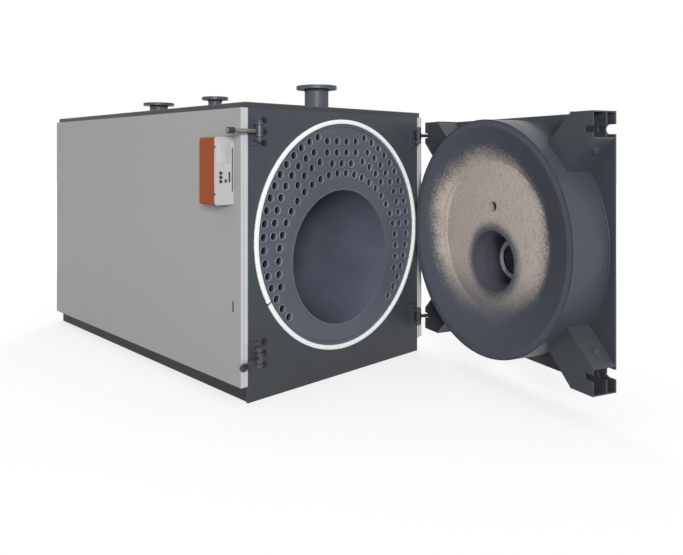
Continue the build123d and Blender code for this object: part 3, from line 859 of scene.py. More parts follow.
@dataclass
class PressureFront(SubAssembly):
    """Front plate, tube plate with its tube ends, furnace mouth and the rope packing."""

    tube_bore: float = 0.050
    tube_pitch: float = 0.082
    tube_near: float = 0.067
    tube_slack: float = 0.0005
    tube_end: Profile = (
        (0.0002, -0.012), (-0.0006, 0.0005), (0.0006, 0.0032), (0.0022, 0.0040), (0.0036, 0.0030), (0.0044, 0.0),
    )
    ligament: float = 0.012
    row_pitch: float = 0.080
    row_starts: tuple[float, ...] = (19.1, 25.3, 23.1)
    row_end: float = 139.0
    row_gap: float = 0.1023
    row_gap_end: float = 129.0
    crown_gap: float = 0.100
    crown_rows: tuple[int, ...] = (4, 4, 3)
    crown_pitch: float = 0.092
    crown_step: float = 0.075
    shell_wall: float = 0.012
    bead_inset: float = 0.004
    furnace_bead: float = 0.005
    shell_bead: float = 0.002
    rope_in: float = 0.740
    rope_width: float = 0.030
    rope_height: float = 0.022
    rope_joint: float = math.radians(209.5)
    rope_break: float = 0.010
    rope_steps: int = 420
    rope_section: int = 14
    rope_square: float = 0.55
    braid: float = 0.015
    clip_length: float = 0.050
    clip_proud: float = 0.0015

    def tube_arc(self, radius: float, rise: float, start: float, end: float) -> list[Point2]:
        """Tube centres on both halves of an arc.

        Args:
            radius: Radius of the arc.
            rise: Height of its centre over the shell axis.
            start: Angle of the first tube off the top, in degrees.
            end: Angle that the last tube doesn't pass.

        Returns:
            Sideways and upward distance of each tube.
        """
        step = math.degrees(self.tube_pitch / radius)
        angles = [math.radians(start + index * step) for index in range(math.floor((end - start) / step) + 1)]
        return [(side * radius * math.sin(a), radius * math.cos(a) + rise) for a in angles for side in (1, -1)]

    def tube_spots(self) -> list[Point2]:
        """Tube centres along the shell, over the furnace, in the crown, then between.

        Returns:
            Sideways and upward distance of each tube from the shell axis.
        """
        bore = self.layout.shell_r - self.shell_wall
        drop = self.layout.axis_z - self.layout.furnace_z
        shell_row = bore - self.tube_bore / 2 - self.ligament
        furnace_row = self.layout.furnace_r + self.row_gap
        outer, *inner = [
            self.tube_arc(shell_row - row * self.row_pitch, 0.0, start, self.row_end)
            for row, start in enumerate(self.row_starts)
        ]
        half_step = math.degrees(self.tube_pitch / furnace_row) / 2
        over_furnace = self.tube_arc(furnace_row, -drop, half_step, self.row_gap_end)
        crown = [
            ((index - (count - 1) / 2) * self.crown_pitch, bore - self.crown_gap - row * self.crown_step)
            for row, count in enumerate(self.crown_rows)
            for index in range(count)
        ]
        spots: list[Point2] = []
        for x, z in outer + over_furnace + crown + sum(inner, []):
            inside = math.hypot(x, z) < shell_row + self.tube_slack
            outside = math.hypot(x, z + drop) > furnace_row - self.tube_slack
            if inside and outside and all(math.hypot(x - a, z - b) > self.tube_near for a, b in spots):
                spots.append((x, z))
        return spots

    def tube_ends(self) -> None:
        """Rolled tube ends that stand a little proud of the tube plate, in a paler, glossier paint: some wear with a
        painted highlight on the rims.
        """
        # Paler paint on the rims: wear with a painted highlight.
        piece = self.piece("tube_ends", Slot.BLUE, "tube_end_highlight_paint")
        profile = about(self.tube_bore / 2, self.tube_end)
        spots = self.tube_spots()
        for x, z in spots:
            piece.lathe(at(self.layout.face, x, z, -self.layout.recess), profile, 24)
        LOG.info("%d tube ends", len(spots))
        piece.done()

    def welds(self) -> None:
        """Beads round the furnace mouth and along the shell, and the thin sealing land up to the rope."""
        piece = self.piece("front_weld_beads", Slot.BLUE, "tube_plate_paint")
        face, depth, rope = self.layout.face, self.layout.recess, self.rope_in
        bore = self.layout.shell_r - self.shell_wall
        drop = self.layout.furnace_z - self.layout.axis_z
        piece.bead(at(face, 0, drop, -depth), self.layout.furnace_r - self.bead_inset, self.furnace_bead)
        piece.bead(at(face, 0, 0, -depth), bore - self.bead_inset, self.shell_bead)
        piece.done()
        inner = about(bore, ((-0.0005, -depth), (-0.0005, 0.0004), (0.0, 0.0008)))
        land = self.piece("seal_land", Slot.BLUE, "tube_plate_paint")
        land.lathe(face, inner + about(rope, ((0.004, 0.0008), (0.005, 0.0))), 160)
        land.done()

    def rope(self) -> None:
        """Braided packing rope in place of the plain gasket ring, with a clip over its joint."""
        piece = self.piece("packing_rope", Slot.GASKET, "rope_packing")
        half, middle = self.rope_width / 2, self.rope_in + self.rope_width / 2
        rise, gap = self.rope_height, self.rope_break / (2 * middle)
        rings = []
        for step in range(self.rope_steps + 1):
            turn = self.rope_joint + gap + (TURN - 2 * gap) * step / self.rope_steps
            points = []
            for part in range(self.rope_section):
                lean = TURN * part / self.rope_section
                braid = 1.0 - self.braid * (0.5 + 0.5 * math.sin(step * 1.6 + part * 2.4))
                edges = (math.cos(lean), math.sin(lean))
                across, out = (math.copysign(abs(edge) ** self.rope_square, edge) * braid for edge in edges)
                radius, level = middle + across * half, rise / 2 + out * rise / 2
                points.append(self.layout.face @ Vector((radius * math.cos(turn), radius * math.sin(turn), level)))
            rings.append(piece.ring(points))
        piece.tube(rings)
        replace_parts(piece.done(), "door_gasket")
        clip = self.piece("rope_clip", Slot.BLUE, "hardware_paint")
        out = Vector((math.cos(self.rope_joint), math.sin(self.rope_joint), 0.0))
        spot = self.layout.face @ frame_of(out * middle, out, Vector((-out.y, out.x, 0.0)))
        clip.slab(spot, self.clip_length, self.rope_break, rise + self.clip_proud, 0.001)
        clip.done()

    def build(self) -> None:
        """Dress the front's nodes and add its pieces."""
        self.dress("boiler_paint", "front_plate", "shell")
        self.dress("tube_plate_paint", "tube_nest")
        self.dress("furnace_paint", "furnace_tube")
        self.dress("furnace_steel", "smoke_cover")
        self.tube_ends()
        self.welds()
        self.rope()


@dataclass
class Casing(SubAssembly):
    """Insulated panels, roof, rear wall and base."""

    grip_back: float = 0.077
    grip_levels: Point2 = (0.540, 0.608)
    grip_width: float = 0.016
    grip_lip: float = 0.008
    lip_t: float = 0.0012
    edge_gap: float = 0.002
    strip_depth: float = 0.008
    strip_drop: float = 0.001
    strip_lap: float = 0.0004
    screw_pitch: float = 0.330
    screw_inset: float = 0.030
    screw_shares: tuple[float, ...] = (0.12, 0.5, 0.88)
    screw_head: Profile = (
        (0.0065, 0.0), (0.0062, 0.0018), (0.0045, 0.0034), (0.0022, 0.0038), (0.0020, 0.0026), (0.0, 0.0026),
    )

    def grip(self) -> None:
        """Small recessed grip in the left front panel: a thin lip round a dark sheet, painted shade of the slot."""
        low, high = self.grip_levels
        width, height = self.grip_width, high - low
        place = at(self.layout.left, -(self.layout.front + self.grip_back), (low + high) / 2)
        lip = self.piece("panel_grip_lip", Slot.CASING, "casing_paint")
        lip.slab(place, width + self.grip_lip, height + self.grip_lip, self.lip_t, 0.010)
        lip.done()
        # Dark sheet on the lip: painted shade inside the grip's slot.
        slot = self.piece("panel_grip_painted_shade", Slot.KNOB, "grip_painted_shade")
        slot.slab(at(place, 0, 0, self.lip_t), width, height, 0.0008, 0.007)
        slot.done()

    def edge_trim(self) -> None:
        """Folded pale strips on the front edges of the side panels, with a shallow groove; their paler copy of the
        casing paint is painted light.
        """
        # Paler copy of the casing paint: painted light on the front-facing folds.
        piece = self.piece("panel_edge_trim", Slot.CASING, "casing_paint_lit_copy")
        for panel in ("left", "right"):
            low, high, mid = box_of(f"{panel}_panel_front")
            place = frame_of(Vector((mid.x, low.y, mid.z)), AXIS_X, AXIS_Z)
            width, height = high.x - low.x, high.z - low.z
            for side in SIDES:
                piece.slab(at(place, side * width * 0.26, 0), width * 0.46, height - self.edge_gap, 0.0020, 0.001)
            piece.slab(place, width - self.edge_gap, height - 2 * self.edge_gap, 0.0008, 0.001)
        piece.done()

    def joint_strips(self) -> None:
        """Strips that close the joints between the side panels, a little below their faces."""
        piece = self.piece("panel_joint_strips", Slot.CASING, "casing_paint")
        for panel, outer, side in (("left", 0, -1), ("right", 1, 1)):
            boxes = [box_of(f"{panel}_panel_{bay}") for bay in BAYS]
            for box, (ahead, _, _) in zip(boxes, boxes[1:]):
                low, high, mid = box
                spot = Vector((box[outer].x - side * self.strip_depth, (high.y + ahead.y) / 2, mid.z))
                place = frame_of(spot, AXIS_Y * side, AXIS_Z)
                gap, height = ahead.y - high.y + self.strip_lap, high.z - low.z - self.edge_gap
                piece.slab(place, gap, height, self.strip_depth - self.strip_drop, 0.0005)
        piece.done()

    def screws(self) -> None:
        """Pan-head screws round the rear panel and along the roof's edges."""
        piece = self.piece("casing_screws", Slot.ZINC, "zinc_steel")
        low, high, mid = box_of("rear_panel")
        inset, middle = self.screw_inset, mid.z - self.layout.axis_z
        half, rise = high.x - inset, (high.z - low.z) / 2 - inset
        columns, rows = (round(2 * reach / self.screw_pitch) for reach in (rise, half))
        levels = [middle - rise + 2 * rise * step / columns for step in range(columns + 1)]
        spots = [(side * half, level) for level in levels for side in SIDES]
        spots += [(-half + 2 * half * step / rows, middle + side * rise) for step in range(1, rows) for side in SIDES]
        places = [at(self.layout.back, x, level) for x, level in spots]
        for bay in BAYS:
            low, high, _ = box_of(f"roof_panel_{bay}")
            for x in (low.x + inset, high.x - inset):
                runs = [Vector((x, low.y + (high.y - low.y) * share, high.z)) for share in self.screw_shares]
                places += [frame_of(spot, AXIS_X, AXIS_Y) for spot in runs]
        for place in places:
            piece.lathe(place, self.screw_head, 16)
        piece.done()

    def build(self) -> None:
        """Dress the casing's nodes and add its pieces."""
        self.dress("casing_paint", *(f"{panel}_panel_{bay}" for panel in ("left", "right") for bay in BAYS))
        self.dress("casing_paint", "rear_panel")
        self.dress("roof_paint", *(f"roof_panel_{bay}" for bay in BAYS))
        self.dress("base_paint", "base_rails", "base_cross_members")
        self.edge_trim()
        self.joint_strips()
        self.grip()
        self.screws()


@dataclass
class RoofConnections(SubAssembly):
    """Flanged nozzles and the small socket on the roof."""

    flange_t: float = 0.024
    pipe_wall: float = 0.007
    face_out: float = 0.022
    face_t: float = 0.002
    grooves: int = 6
    groove: Profile = ((0.0, 0.002), (0.0012, 0.0014), (0.0024, 0.002))
    collar_height: float = 0.016
    collar: Profile = ((0.0006, 0.016), (0.004, 0.016), (0.006, 0.004), (0.034, 0.003), (0.036, 0.0))
    neck: Profile = ((0.0, -0.016), (0.003, -0.010), (0.008, -0.003), (0.014, 0.0))
    pipes: dict[str, float] = field(
        default_factory=lambda: {
            "flow_nozzle": 0.16830, "safety_nozzle": 0.11430, "return_nozzle": 0.16830, "top_socket": 0.070
        }
    )

    def face(self, radius: float) -> list[Point2]:
        """Profile of a raised face with its fine grooves.

        Args:
            radius: Outer radius of the pipe.

        Returns:
            Radius and height of each point.
        """
        bore, edge = radius - self.pipe_wall, radius + self.face_out
        profile = [(bore, 0.0), (bore, self.face_t)]
        for groove in range(self.grooves):
            profile += about(bore + 0.004 + groove * (radius + 0.018 - bore) / self.grooves, self.groove)
        return profile + [(edge, self.face_t), (edge, 0.0)]

    def build(self) -> None:
        """Dress the nozzles, add roof collars, neck welds and raised faces."""
        self.dress("nozzle_paint", *self.pipes)
        roof = box_of("roof_panel_front")[1].z
        collars = self.piece("roof_collars", Slot.ROOF, "roof_paint")
        faces = self.piece("flange_raised_faces", Slot.STEEL, "zinc_steel")
        necks = self.piece("flange_neck_beads", Slot.BLUE, "nozzle_paint")
        for name, pipe in self.pipes.items():
            _, high, mid = box_of(name)
            up = frame_of(Vector((mid.x, mid.y, 0)), AXIS_X, AXIS_Y)
            radius = pipe / 2
            collars.lathe(at(up, 0, 0, roof), about(radius, self.collar), 48)
            if name == "top_socket":
                continue
            necks.bead(at(up, 0, 0, roof + self.collar_height), radius + 0.002, 0.003)
            necks.lathe(at(up, 0, 0, high.z - self.flange_t), about(radius, self.neck), 48)
            faces.lathe(at(up, 0, 0, high.z), self.face(radius), 64)
        for piece in (collars, faces, necks):
            piece.done()


@dataclass
class RearFittings(SubAssembly):
    """Flue spigot, cleaning hatch and drain on the back."""

    spigot_step: float = 0.008
    spigot_back: float = 0.045
    spigot_bead: Profile = ((0.0, -0.010), (0.004, -0.006), (0.006, 0.0), (0.004, 0.006), (0.0, 0.010))
    cover_ring: Profile = ((0.001, 0.010), (0.004, 0.009), (0.005, 0.004), (0.032, 0.003), (0.034, 0.0))
    drain_ring: Profile = ((0.031, 0.004), (0.040, 0.004), (0.046, 0.002), (0.048, 0.0))
    drain_thread: Profile = ((0.0300, 0.004), (0.0316, 0.0055))
    thread_pitch: float = 0.0030
    thread_turns: int = 10
    hatch_inset: float = 0.035
    hatch_bolt: Point2 = (0.026, 0.012)
    handle_span: float = 0.130
    handle_out: float = 0.035
    handle_r: float = 0.006
    handle_steps: int = 12

    def trim(self) -> None:
        """Bead and cover ring of the flue spigot, thread and ring of the drain."""
        piece = self.piece("flue_trim", Slot.ZINC, "zinc_steel")
        back, rear, axis_z = self.layout.back, self.layout.rear, self.layout.axis_z
        low, high, mid = box_of("flue_collar")
        rise, radius = mid.z - axis_z, (high.x - low.x) / 2
        bead = about(radius - self.spigot_step, self.spigot_bead)
        piece.lathe(at(back, 0, rise, high.y - rear - self.spigot_back), bead, 72)
        piece.lathe(at(back, 0, rise), about(radius, self.cover_ring), 72)
        low, high, _ = box_of("drain_pipe")
        drain, tail = at(back, 0, (high.x - low.x) / 2 + low.z - axis_z), high.y - rear
        starts = [tail - self.thread_pitch * turn for turn in range(self.thread_turns)]
        piece.lathe(drain, [(radius, start - off) for start in starts for radius, off in self.drain_thread], 40)
        piece.lathe(drain, self.drain_ring, 40)
        piece.done()

    def hatch(self) -> None:
        """Bolts and bent handle of the cleaning hatch."""
        piece = self.piece("hatch_bolts", Slot.ZINC, "zinc_steel")
        low, high, mid = box_of("cleaning_hatch")
        middle, top = mid.z - self.layout.axis_z, high.y - self.layout.rear
        half_x, half_z = high.x - self.hatch_inset, (high.z - low.z) / 2 - self.hatch_inset
        for sx in SIDES:
            for sz in SIDES:
                piece.hexagon(at(self.layout.back, sx * half_x, middle + sz * half_z, top), *self.hatch_bolt)
        arch = []
        for step in range(self.handle_steps + 1):
            share = step / self.handle_steps
            reach = self.handle_out * min(1.0, math.sin(math.pi * share) * 2.2)
            arch.append(self.layout.back @ Vector(((share - 0.5) * self.handle_span, middle, top + reach)))
        piece.bar(arch, self.handle_r)
        piece.done()

    def build(self) -> None:
        """Dress the rear nodes and add their pieces."""
        self.dress("zinc_steel", "flue_collar", "drain_pipe")
        self.dress("boiler_paint", "cleaning_hatch")
        self.trim()
        self.hatch()


@dataclass
class ControlBox(SubAssembly):
    """Orange box on the left side with its pale fascia.

    The strip and the rocker are given by their place beside and over the lowest knob, width, height, depth and
    corner radius.
    """

    knobs: int = 3
    bezel: Profile = ((0.0003, 0.0040), (0.0015, 0.0042), (0.0034, 0.0018), (0.0038, 0.0))
    strip: tuple[float, ...] = (0.036, 0.032, 0.012, 0.060, 0.0025, 0.002)
    rocker: tuple[float, ...] = (0.008, 0.010, 0.015, 0.020, 0.005, 0.003)
    clip_levels: Point2 = (0.150, 0.840)
    clip_back: float = 0.010
    gap_shade_back: float = 0.008
    gap_shade_levels: Point2 = (0.062, 0.327)
    screw_at: Point2 = (0.054, 0.012)
    pan_head: Profile = ((0.0045, 0.0), (0.0040, 0.0014), (0.0012, 0.0018), (0.0, 0.0010))

    def controls(self, front: Matrix, low: Vector, high: Vector) -> None:
        """Bezels and grips of the knobs, a strip, a rocker, a dark strip painted as the shade of the fascia's edge
        gap, and two clips.

        Args:
            front: Local frame of the fascia's face.
            low: Low corner of the fascia.
            high: High corner of the fascia.
        """
        piece = self.piece("fascia_controls", Slot.KNOB, "knob_black")
        knob_low, knob_high, knob = box_of("control_knobs")
        size_z, first = high.z - low.z, knob_low.z - front.translation.z
        x, radius = knob.x - front.translation.x, (knob_high.x - knob_low.x) / 2
        span = knob_high.z - knob_low.z - 2 * radius
        for step in range(self.knobs):
            level = first + radius + span * step / (self.knobs - 1)
            piece.lathe(at(front, x, level), about(radius, self.bezel), 32)
            piece.slab(at(front, x, level, 0.0140), 0.003, radius * 1.5, 0.0016, 0.0012)
        for beside, over, *size in (self.strip, self.rocker):
            piece.slab(at(front, beside, first + over), *size)
        # Dark strip near the fascia's far edge: painted shade of the gap to the panel.
        top, bottom = self.gap_shade_levels
        gap_shade = at(front, (high.x - low.x) / 2 - self.gap_shade_back, size_z / 2 - (top + bottom) / 2)
        piece.slab(gap_shade, 0.007, bottom - top, 0.001, 0.003)
        left = self.layout.left
        for level in self.clip_levels:
            clip = at(left, -(low.y + self.clip_back), low.z + size_z * (1.0 - level), left.translation.x - low.x)
            piece.slab(clip, 0.020, 0.014, 0.003, 0.003)
        piece.done()

    def build(self) -> None:
        """Dress the box, add its controls, corner screws and a blank label plate."""
        self.dress("cover_orange", "control_box")
        self.dress("fascia_pale", "control_fascia")
        self.dress("knob_black", "control_knobs")
        low, high, mid = box_of("control_fascia")
        front = frame_of(Vector((mid.x, low.y, mid.z)), AXIS_X, AXIS_Z)
        self.controls(front, low, high)
        trim = self.piece("fascia_trim", Slot.FASCIA, "fascia_pale")
        beside, inset = self.screw_at
        for sx in SIDES:
            for sz in SIDES:
                trim.lathe(at(front, sx * beside, sz * ((high.z - low.z) / 2 - inset)), self.pan_head, 16)
        trim.slab(at(front, -0.004, 0.108), 0.096, 0.130, 0.0015, 0.006)
        trim.done()


@dataclass
class Door(SubAssembly):
    """Hinged door: drum, dished lining, corner arms, burner plate and sight port."""

    drum_r: float = 0.760
    depth: float = 0.272
    back_t: float = 0.012
    furnace_drop: float = 0.1553
    flat_r: float = 0.490
    mouth_r: float = 0.194
    # Sideways and upward shift of the soot rim's centre; the sideways part paints shade on the slope away from the
    # hinge.
    soot_shift_painted_shade: Point2 = (0.062, 0.015)
    sight_rise: float = 0.1997
    sight_hole: float = 0.0315
    sight_t: float = 0.045
    port_ring: Profile = ((0.032, 0.0), (0.032, 0.004), (0.034, 0.006), (0.050, 0.006), (0.053, 0.004), (0.053, 0.0))
    port_t: float = 0.006
    port_screws_r: float = 0.043
    port_screw: Profile = ((0.0045, 0.0), (0.0045, 0.0022), (0.0036, 0.0032), (0.0, 0.0032))
    arm_out: Point2 = (0.801, 0.783)
    arm_top: float = 0.775
    arm_leg: float = 0.1555
    arm_front: float = -0.097
    arm_bolt: Point2 = (0.044, 0.014)
    arm_bolt_run: float = 0.060
    arm_bolt_level: float = -0.180
    burner_pcd: float = 0.430
    burner_t: float = 0.025
    burner_bolt: Point2 = (0.028, 0.012)
    step_ring: Profile = ((0.100, 0.0), (0.100, 0.006), (0.102, 0.008), (0.128, 0.008), (0.131, 0.005), (0.131, 0.0))

    def lining(self) -> CastLining:
        """Finish of the dished lining, placed by the door's axis and burner mouth.

        Returns:
            The finish, not yet built.
        """
        aside, up = self.soot_shift_painted_shade
        return CastLining(
            name="cast_lining",
            beige=linear(190, 179, 170),
            warm=linear(150, 120, 98),
            soot=linear(72, 76, 86),
            # The soot rim's centre moves towards the hinge, which paints shade on the slope away from the hinge.
            centre=self.layout.door.translation - self.layout.door_u * aside + AXIS_Z * up,
            axis=self.layout.door_w,
            hinge_side=-self.layout.door_u,
            flat_radius=self.flat_r,
            mouth=self.layout.door @ Vector((0, -self.furnace_drop, 0)),
            mouth_radius=self.mouth_r,
            sight=self.layout.door @ Vector((0, self.sight_rise, 0)),
            sight_radius=self.sight_hole,
        )

    def corners(self) -> list[tuple[int, int, float]]:
        """Side, level and outer edge of each corner arm."""
        return [(side, level, out) for side, out in zip((1, -1), self.arm_out) for level in (1, -1)]

    def welds(self) -> None:
        """Beads where the drum meets the back plate and along the arms' heels."""
        piece = self.piece("door_weld_beads", Slot.BLUE, "boiler_paint", Body.DOOR)
        inside = self.back_t - self.depth
        piece.bead(at(self.layout.door, 0, 0, inside), self.drum_r + 0.003, 0.005)
        for side, level, out in self.corners():
            heel = (side * (out - self.arm_leg), level * self.arm_top)
            start, end = (self.layout.door @ Vector((*heel, depth)) for depth in (inside, self.arm_front))
            piece.seam(start, end, AXIS_Z * level, 0.003)
        piece.done()

    def arm_bolts(self) -> None:
        """Hexagon heads on the sloped plates of the corner arms."""
        piece = self.piece("arm_bolts", Slot.BLUE, "hardware_paint", Body.DOOR)
        run = self.arm_bolt_run
        for side, level, out in self.corners():
            away = Vector((side, -level, 0)).normalized()
            across = AXIS_Z.cross(away).normalized()
            rise = level * (self.arm_top - self.arm_leg - run)
            spot = frame_of(Vector((side * (out - run), rise, self.arm_bolt_level)), across, away.cross(across))
            piece.hexagon(self.layout.door @ spot, *self.arm_bolt)
        piece.done()

    def fittings(self) -> None:
        """Ring and screws of the sight port, bolts and inner ring of the burner plate; the inner ring's paler steel
        is partly painted light in the shaded bore.
        """
        back = frame_of(self.layout.door @ Vector((0, 0, -self.depth)), -self.layout.door_u, AXIS_Z)
        port = at(back, 0, self.sight_rise, self.sight_t)
        ring = self.piece("sight_port_ring", Slot.ZINC, "zinc_steel", Body.DOOR)
        ring.lathe(port, self.port_ring, 48)
        for spot in around(port, self.port_screws_r, 4, self.port_t):
            ring.lathe(spot, self.port_screw, 12)
        ring.done()
        bolts = self.piece("burner_plate_bolts", Slot.ZINC, "zinc_steel", Body.DOOR)
        for spot in around(at(back, 0, -self.furnace_drop, self.burner_t), self.burner_pcd / 2, 8):
            bolts.hexagon(spot, *self.burner_bolt)
        bolts.done()
        # Pale bare steel, made lighter as painted light inside the shaded bore.
        step_ring = self.piece("burner_step_ring", Slot.STEEL, "ring_steel_painted_light", Body.DOOR)
        inside = at(self.layout.door, 0, -self.furnace_drop, self.back_t - self.depth)
        step_ring.lathe(inside, self.step_ring, 96, True)
        step_ring.done()

    def build(self) -> None:
        """Dress the door's nodes and add its pieces."""
        self.finishes.add(self.lining())
        self.dress("boiler_paint", "door_plate", "door_drum", "burner_flange", "clamp_blocks", "hinge_blocks")
        self.dress("cast_lining", "door_refractory")
        self.dress("zinc_steel", "sight_port")
        self.dress("heat_glass", "sight_glass")
        self.welds()
        self.arm_bolts()
        self.fittings()


@dataclass
class Clamps(SubAssembly):
    """Lugs, pins, hinge bolts and the two swing bolts with their nuts."""

    rod_r: float = 0.012
    rod_end: float = 0.239
    hinge_end: float = 0.232
    thread_from: float = 0.105
    thread_pitch: float = 0.003
    crest: float = 0.0009
    root: float = 0.0001
    washer: Profile = ((0.0124, 0.0), (0.021, 0.0), (0.021, -0.0026), (0.0124, -0.0026))
    washer_rise: float = 0.0105
    split_rise: float = 0.0045
    split_half: float = 0.022
    split_r: float = 0.0018
    pad_half: float = 0.036
    pad_reach: float = 0.080
    pad_bead: float = 0.004
    bracket_run: float = 0.076
    bracket_pitch: float = 0.070
    bracket_bolt: Point2 = (0.034, 0.012)

    def thread(self, name: str, body: Body, spots: Sequence[tuple[Vector, Vector]], end: float) -> None:
        """Threads on the outer half of the rods.

        Args:
            name: Name of the piece.
            body: Body that the rods ride on.
            spots: Pivot and direction of each rod.
            end: Distance from the pivot to the rod's end.
        """
        # The lower bolt takes a darker copy of the bolt steel: painted shade.
        finish = "bolt_steel_painted_shade" if body is Body.LOWER_BOLT else "bolt_steel"
        piece = self.piece(name, Slot.ZINC, finish, body)
        offsets = []
        for turn in range(int((end - self.thread_from) / self.thread_pitch)):
            level = self.thread_from + turn * self.thread_pitch
            offsets += [(self.root, level), (self.crest, level + self.thread_pitch * 0.5)]
        tip = [(self.root, end - 0.001), (-0.002, end + 0.001), (-self.rod_r, end + 0.001)]
        for pivot, along in spots:
            piece.lathe(frame_of(pivot, AXIS_Z.cross(along), AXIS_Z), about(self.rod_r, offsets + tip), 28)
        piece.done()

    def keepers(self) -> None:
        """Washers and split pins under the pivot pins, and beads along the pads."""
        keepers = self.piece("pin_keepers", Slot.BLUE, "hardware_paint")
        beads = self.piece("pad_weld_beads", Slot.BLUE, "hardware_paint")
        upper, lower = (pivot.z for pivot in self.layout.bolt_pivots.values())
        pad_rise = lower - box_of("clamp_pins")[0].z
        for name in ("hinge_pins", "clamp_pins"):
            low, _, mid = box_of(name)
            for tail in (low.z, low.z + upper - lower):
                disc = frame_of(Vector((mid.x, mid.y, tail + self.washer_rise)), AXIS_X, AXIS_Y)
                keepers.lathe(disc, self.washer, 28)
                split = Vector((mid.x, mid.y, tail + self.split_rise))
                keepers.bar([split + AXIS_X * (reach * self.split_half) for reach in (-1, 0, 1)], self.split_r, 8)
                for side in SIDES:
                    foot = Vector((mid.x + side * self.pad_half, self.layout.front, tail + pad_rise))
                    reach = AXIS_Z * self.pad_reach
                    beads.seam(foot - reach, foot + reach, -AXIS_Y, self.pad_bead)
        keepers.done()
        beads.done()

    def bracket_bolts(self) -> None:
        """Three hexagon heads on the front plate beside each clamp, near black: painted shadow of the lugs."""
        piece = self.piece("clamp_bracket_bolts", Slot.BLUE, "bolt_painted_shadow")
        for pivot in self.layout.bolt_pivots.values():
            for step in (-1, 0, 1):
                spot = Vector((pivot.x + self.bracket_run, self.layout.front, pivot.z + step * self.bracket_pitch))
                piece.hexagon(frame_of(spot, AXIS_X, AXIS_Z), *self.bracket_bolt)
        piece.done()

    def build(self) -> None:
        """Dress the pivots and bolts, add threads, keepers and bolt heads."""
        self.dress("hardware_paint", "hinge_lugs", "clamp_lugs", "hinge_pins", "clamp_pins")
        self.dress("bolt_steel", "swing_bolt_upper")
        # Darker copy of the bolt steel on the lower bolt: painted shade.
        self.dress("bolt_steel_painted_shade", "swing_bolt_lower")
        self.dress("nut_steel", "swing_nut_upper", "swing_nut_lower", "hinge_bolts")
        hinge, (x, y, _) = [], self.layout.pivot
        for body, pivot in self.layout.bolt_pivots.items():
            swing = math.radians(-self.layout.joints[f"{body.value}_swing"]["range_deg"][0])
            along = Vector((-math.sin(swing), -math.cos(swing), 0))
            self.thread(f"{body.value}_thread", body, [(pivot, along)], self.rod_end)
            hinge.append((Vector((x, y, pivot.z)), -self.layout.door_w))
        self.thread("hinge_bolt_thread", Body.DOOR, hinge, self.hinge_end)
        self.keepers()
        self.bracket_bolts()


@dataclass(frozen=True)
class Lamp:
    """Soft square lamp, with its place, edge and power in watts."""

    name: str
    spot: Point3
    size: float
    power: float

    def hang(self, target: Vector) -> None:
        """Put the lamp in the scene, aimed at a point.

        Args:
            target: Point that it faces.
        """
        data = bpy.data.lights.new(self.name, "AREA")
        data.size = self.size
        data.energy = self.power
        item = bpy.data.objects.new(self.name, data)
        item.location = self.spot
        item.rotation_euler = (target - Vector(self.spot)).to_track_quat("-Z", "Y").to_euler()
        bpy.context.scene.collection.objects.link(item)


@dataclass
class Studio:
    """Pale floor, soft light and the camera at the photograph's angle."""

    camera_at: Point3 = (-3.2875, -4.525, 1.488)
    heading: float = math.radians(-42.16)
    lens: float = 35.52
    shift: Point2 = (0.0638, -0.1808)
    aim: Point3 = (0.0, -0.9, 0.9)
    lamps: tuple[Lamp, ...] = (
        Lamp("key", (-10.5, -13.4, 4.4), 3.7, 2450.0),
        Lamp("top", (0.0, -0.5, 6.5), 4.0, 80.0),
        Lamp("back", (5.5, 5.5, 4.5), 3.0, 220.0),
    )
    ambient: float = 0.40
    paper: Colour = (0.35, 0.35, 0.35)
    near_glow: float = 0.68
    shadow_at: Point3 = (0.0, -1.0, 0.0)
    shadow_reach: float = 3.2

    def seen(self, tree: bpy.types.NodeTree) -> bpy.types.NodeSocket:
        """Tell rays that show the surround, straight, mirrored or through glass, from rays that light.

        Args:
            tree: Node sheet of the floor or the world.

        Returns:
            Grey socket, one for rays that show the surround.
        """
        path = tree.nodes.new("ShaderNodeLightPath")
        found = path.outputs["Is Camera Ray"]
        for ray in ("Is Glossy Ray", "Is Transmission Ray"):
            either = tree.nodes.new("ShaderNodeMath")
            either.operation = "MAXIMUM"
            tree.links.new(found, either.inputs[0])
            tree.links.new(path.outputs[ray], either.inputs[1])
            found = either.outputs[0]
        return found

    def floor(self) -> None:
        """Seamless pale floor that keeps the shadow."""
        bpy.ops.mesh.primitive_plane_add(size=60.0, location=(0, 0, -0.0005))
        ground = bpy.context.object
        ground.name = "studio_floor"
        sheet = Graph("studio_floor_paper")
        far = sheet.vector("DISTANCE", sheet.place, self.shadow_at)
        glow = sheet.span(far, self.shadow_reach, 2.4 * self.shadow_reach, self.near_glow, 1.0)
        strength = sheet.math("MULTIPLY", self.seen(sheet.tree), glow)
        white = (1.0, 1.0, 1.0)
        paper = sheet.finish(Base_Color=self.paper, Roughness=0.9, Emission_Color=white, Emission_Strength=strength)
        ground.data.materials.append(paper)

    def world(self) -> None:
        """White surround for the eye, dimmer light for the object."""
        world = bpy.data.worlds.new("studio")
        world.use_nodes = True
        tree = world.node_tree
        back = tree.nodes["Background"]
        level = tree.nodes.new("ShaderNodeMapRange")
        tree.links.new(self.seen(tree), level.inputs["Value"])
        level.inputs["To Min"].default_value = self.ambient
        level.inputs["To Max"].default_value = 1.0
        back.inputs["Color"].default_value = (1.0, 1.0, 1.0, 1.0)
        tree.links.new(level.outputs[0], back.inputs["Strength"])
        bpy.context.scene.world = world

    def build(self) -> None:
        """Set the floor, the light and the camera."""
        self.floor()
        self.world()
        for lamp in self.lamps:
            lamp.hang(Vector(self.aim))
        data = bpy.data.cameras.new("camera")
        data.lens = self.lens
        data.sensor_width = 36.0
        data.sensor_fit = "HORIZONTAL"
        data.shift_x, data.shift_y = self.shift
        camera = bpy.data.objects.new("camera", data)
        camera.location = self.camera_at
        camera.rotation_euler = (math.radians(90.0), 0.0, self.heading)
        bpy.context.scene.collection.objects.link(camera)
        bpy.context.scene.camera = camera
        bpy.context.scene.view_settings.view_transform = "Standard"


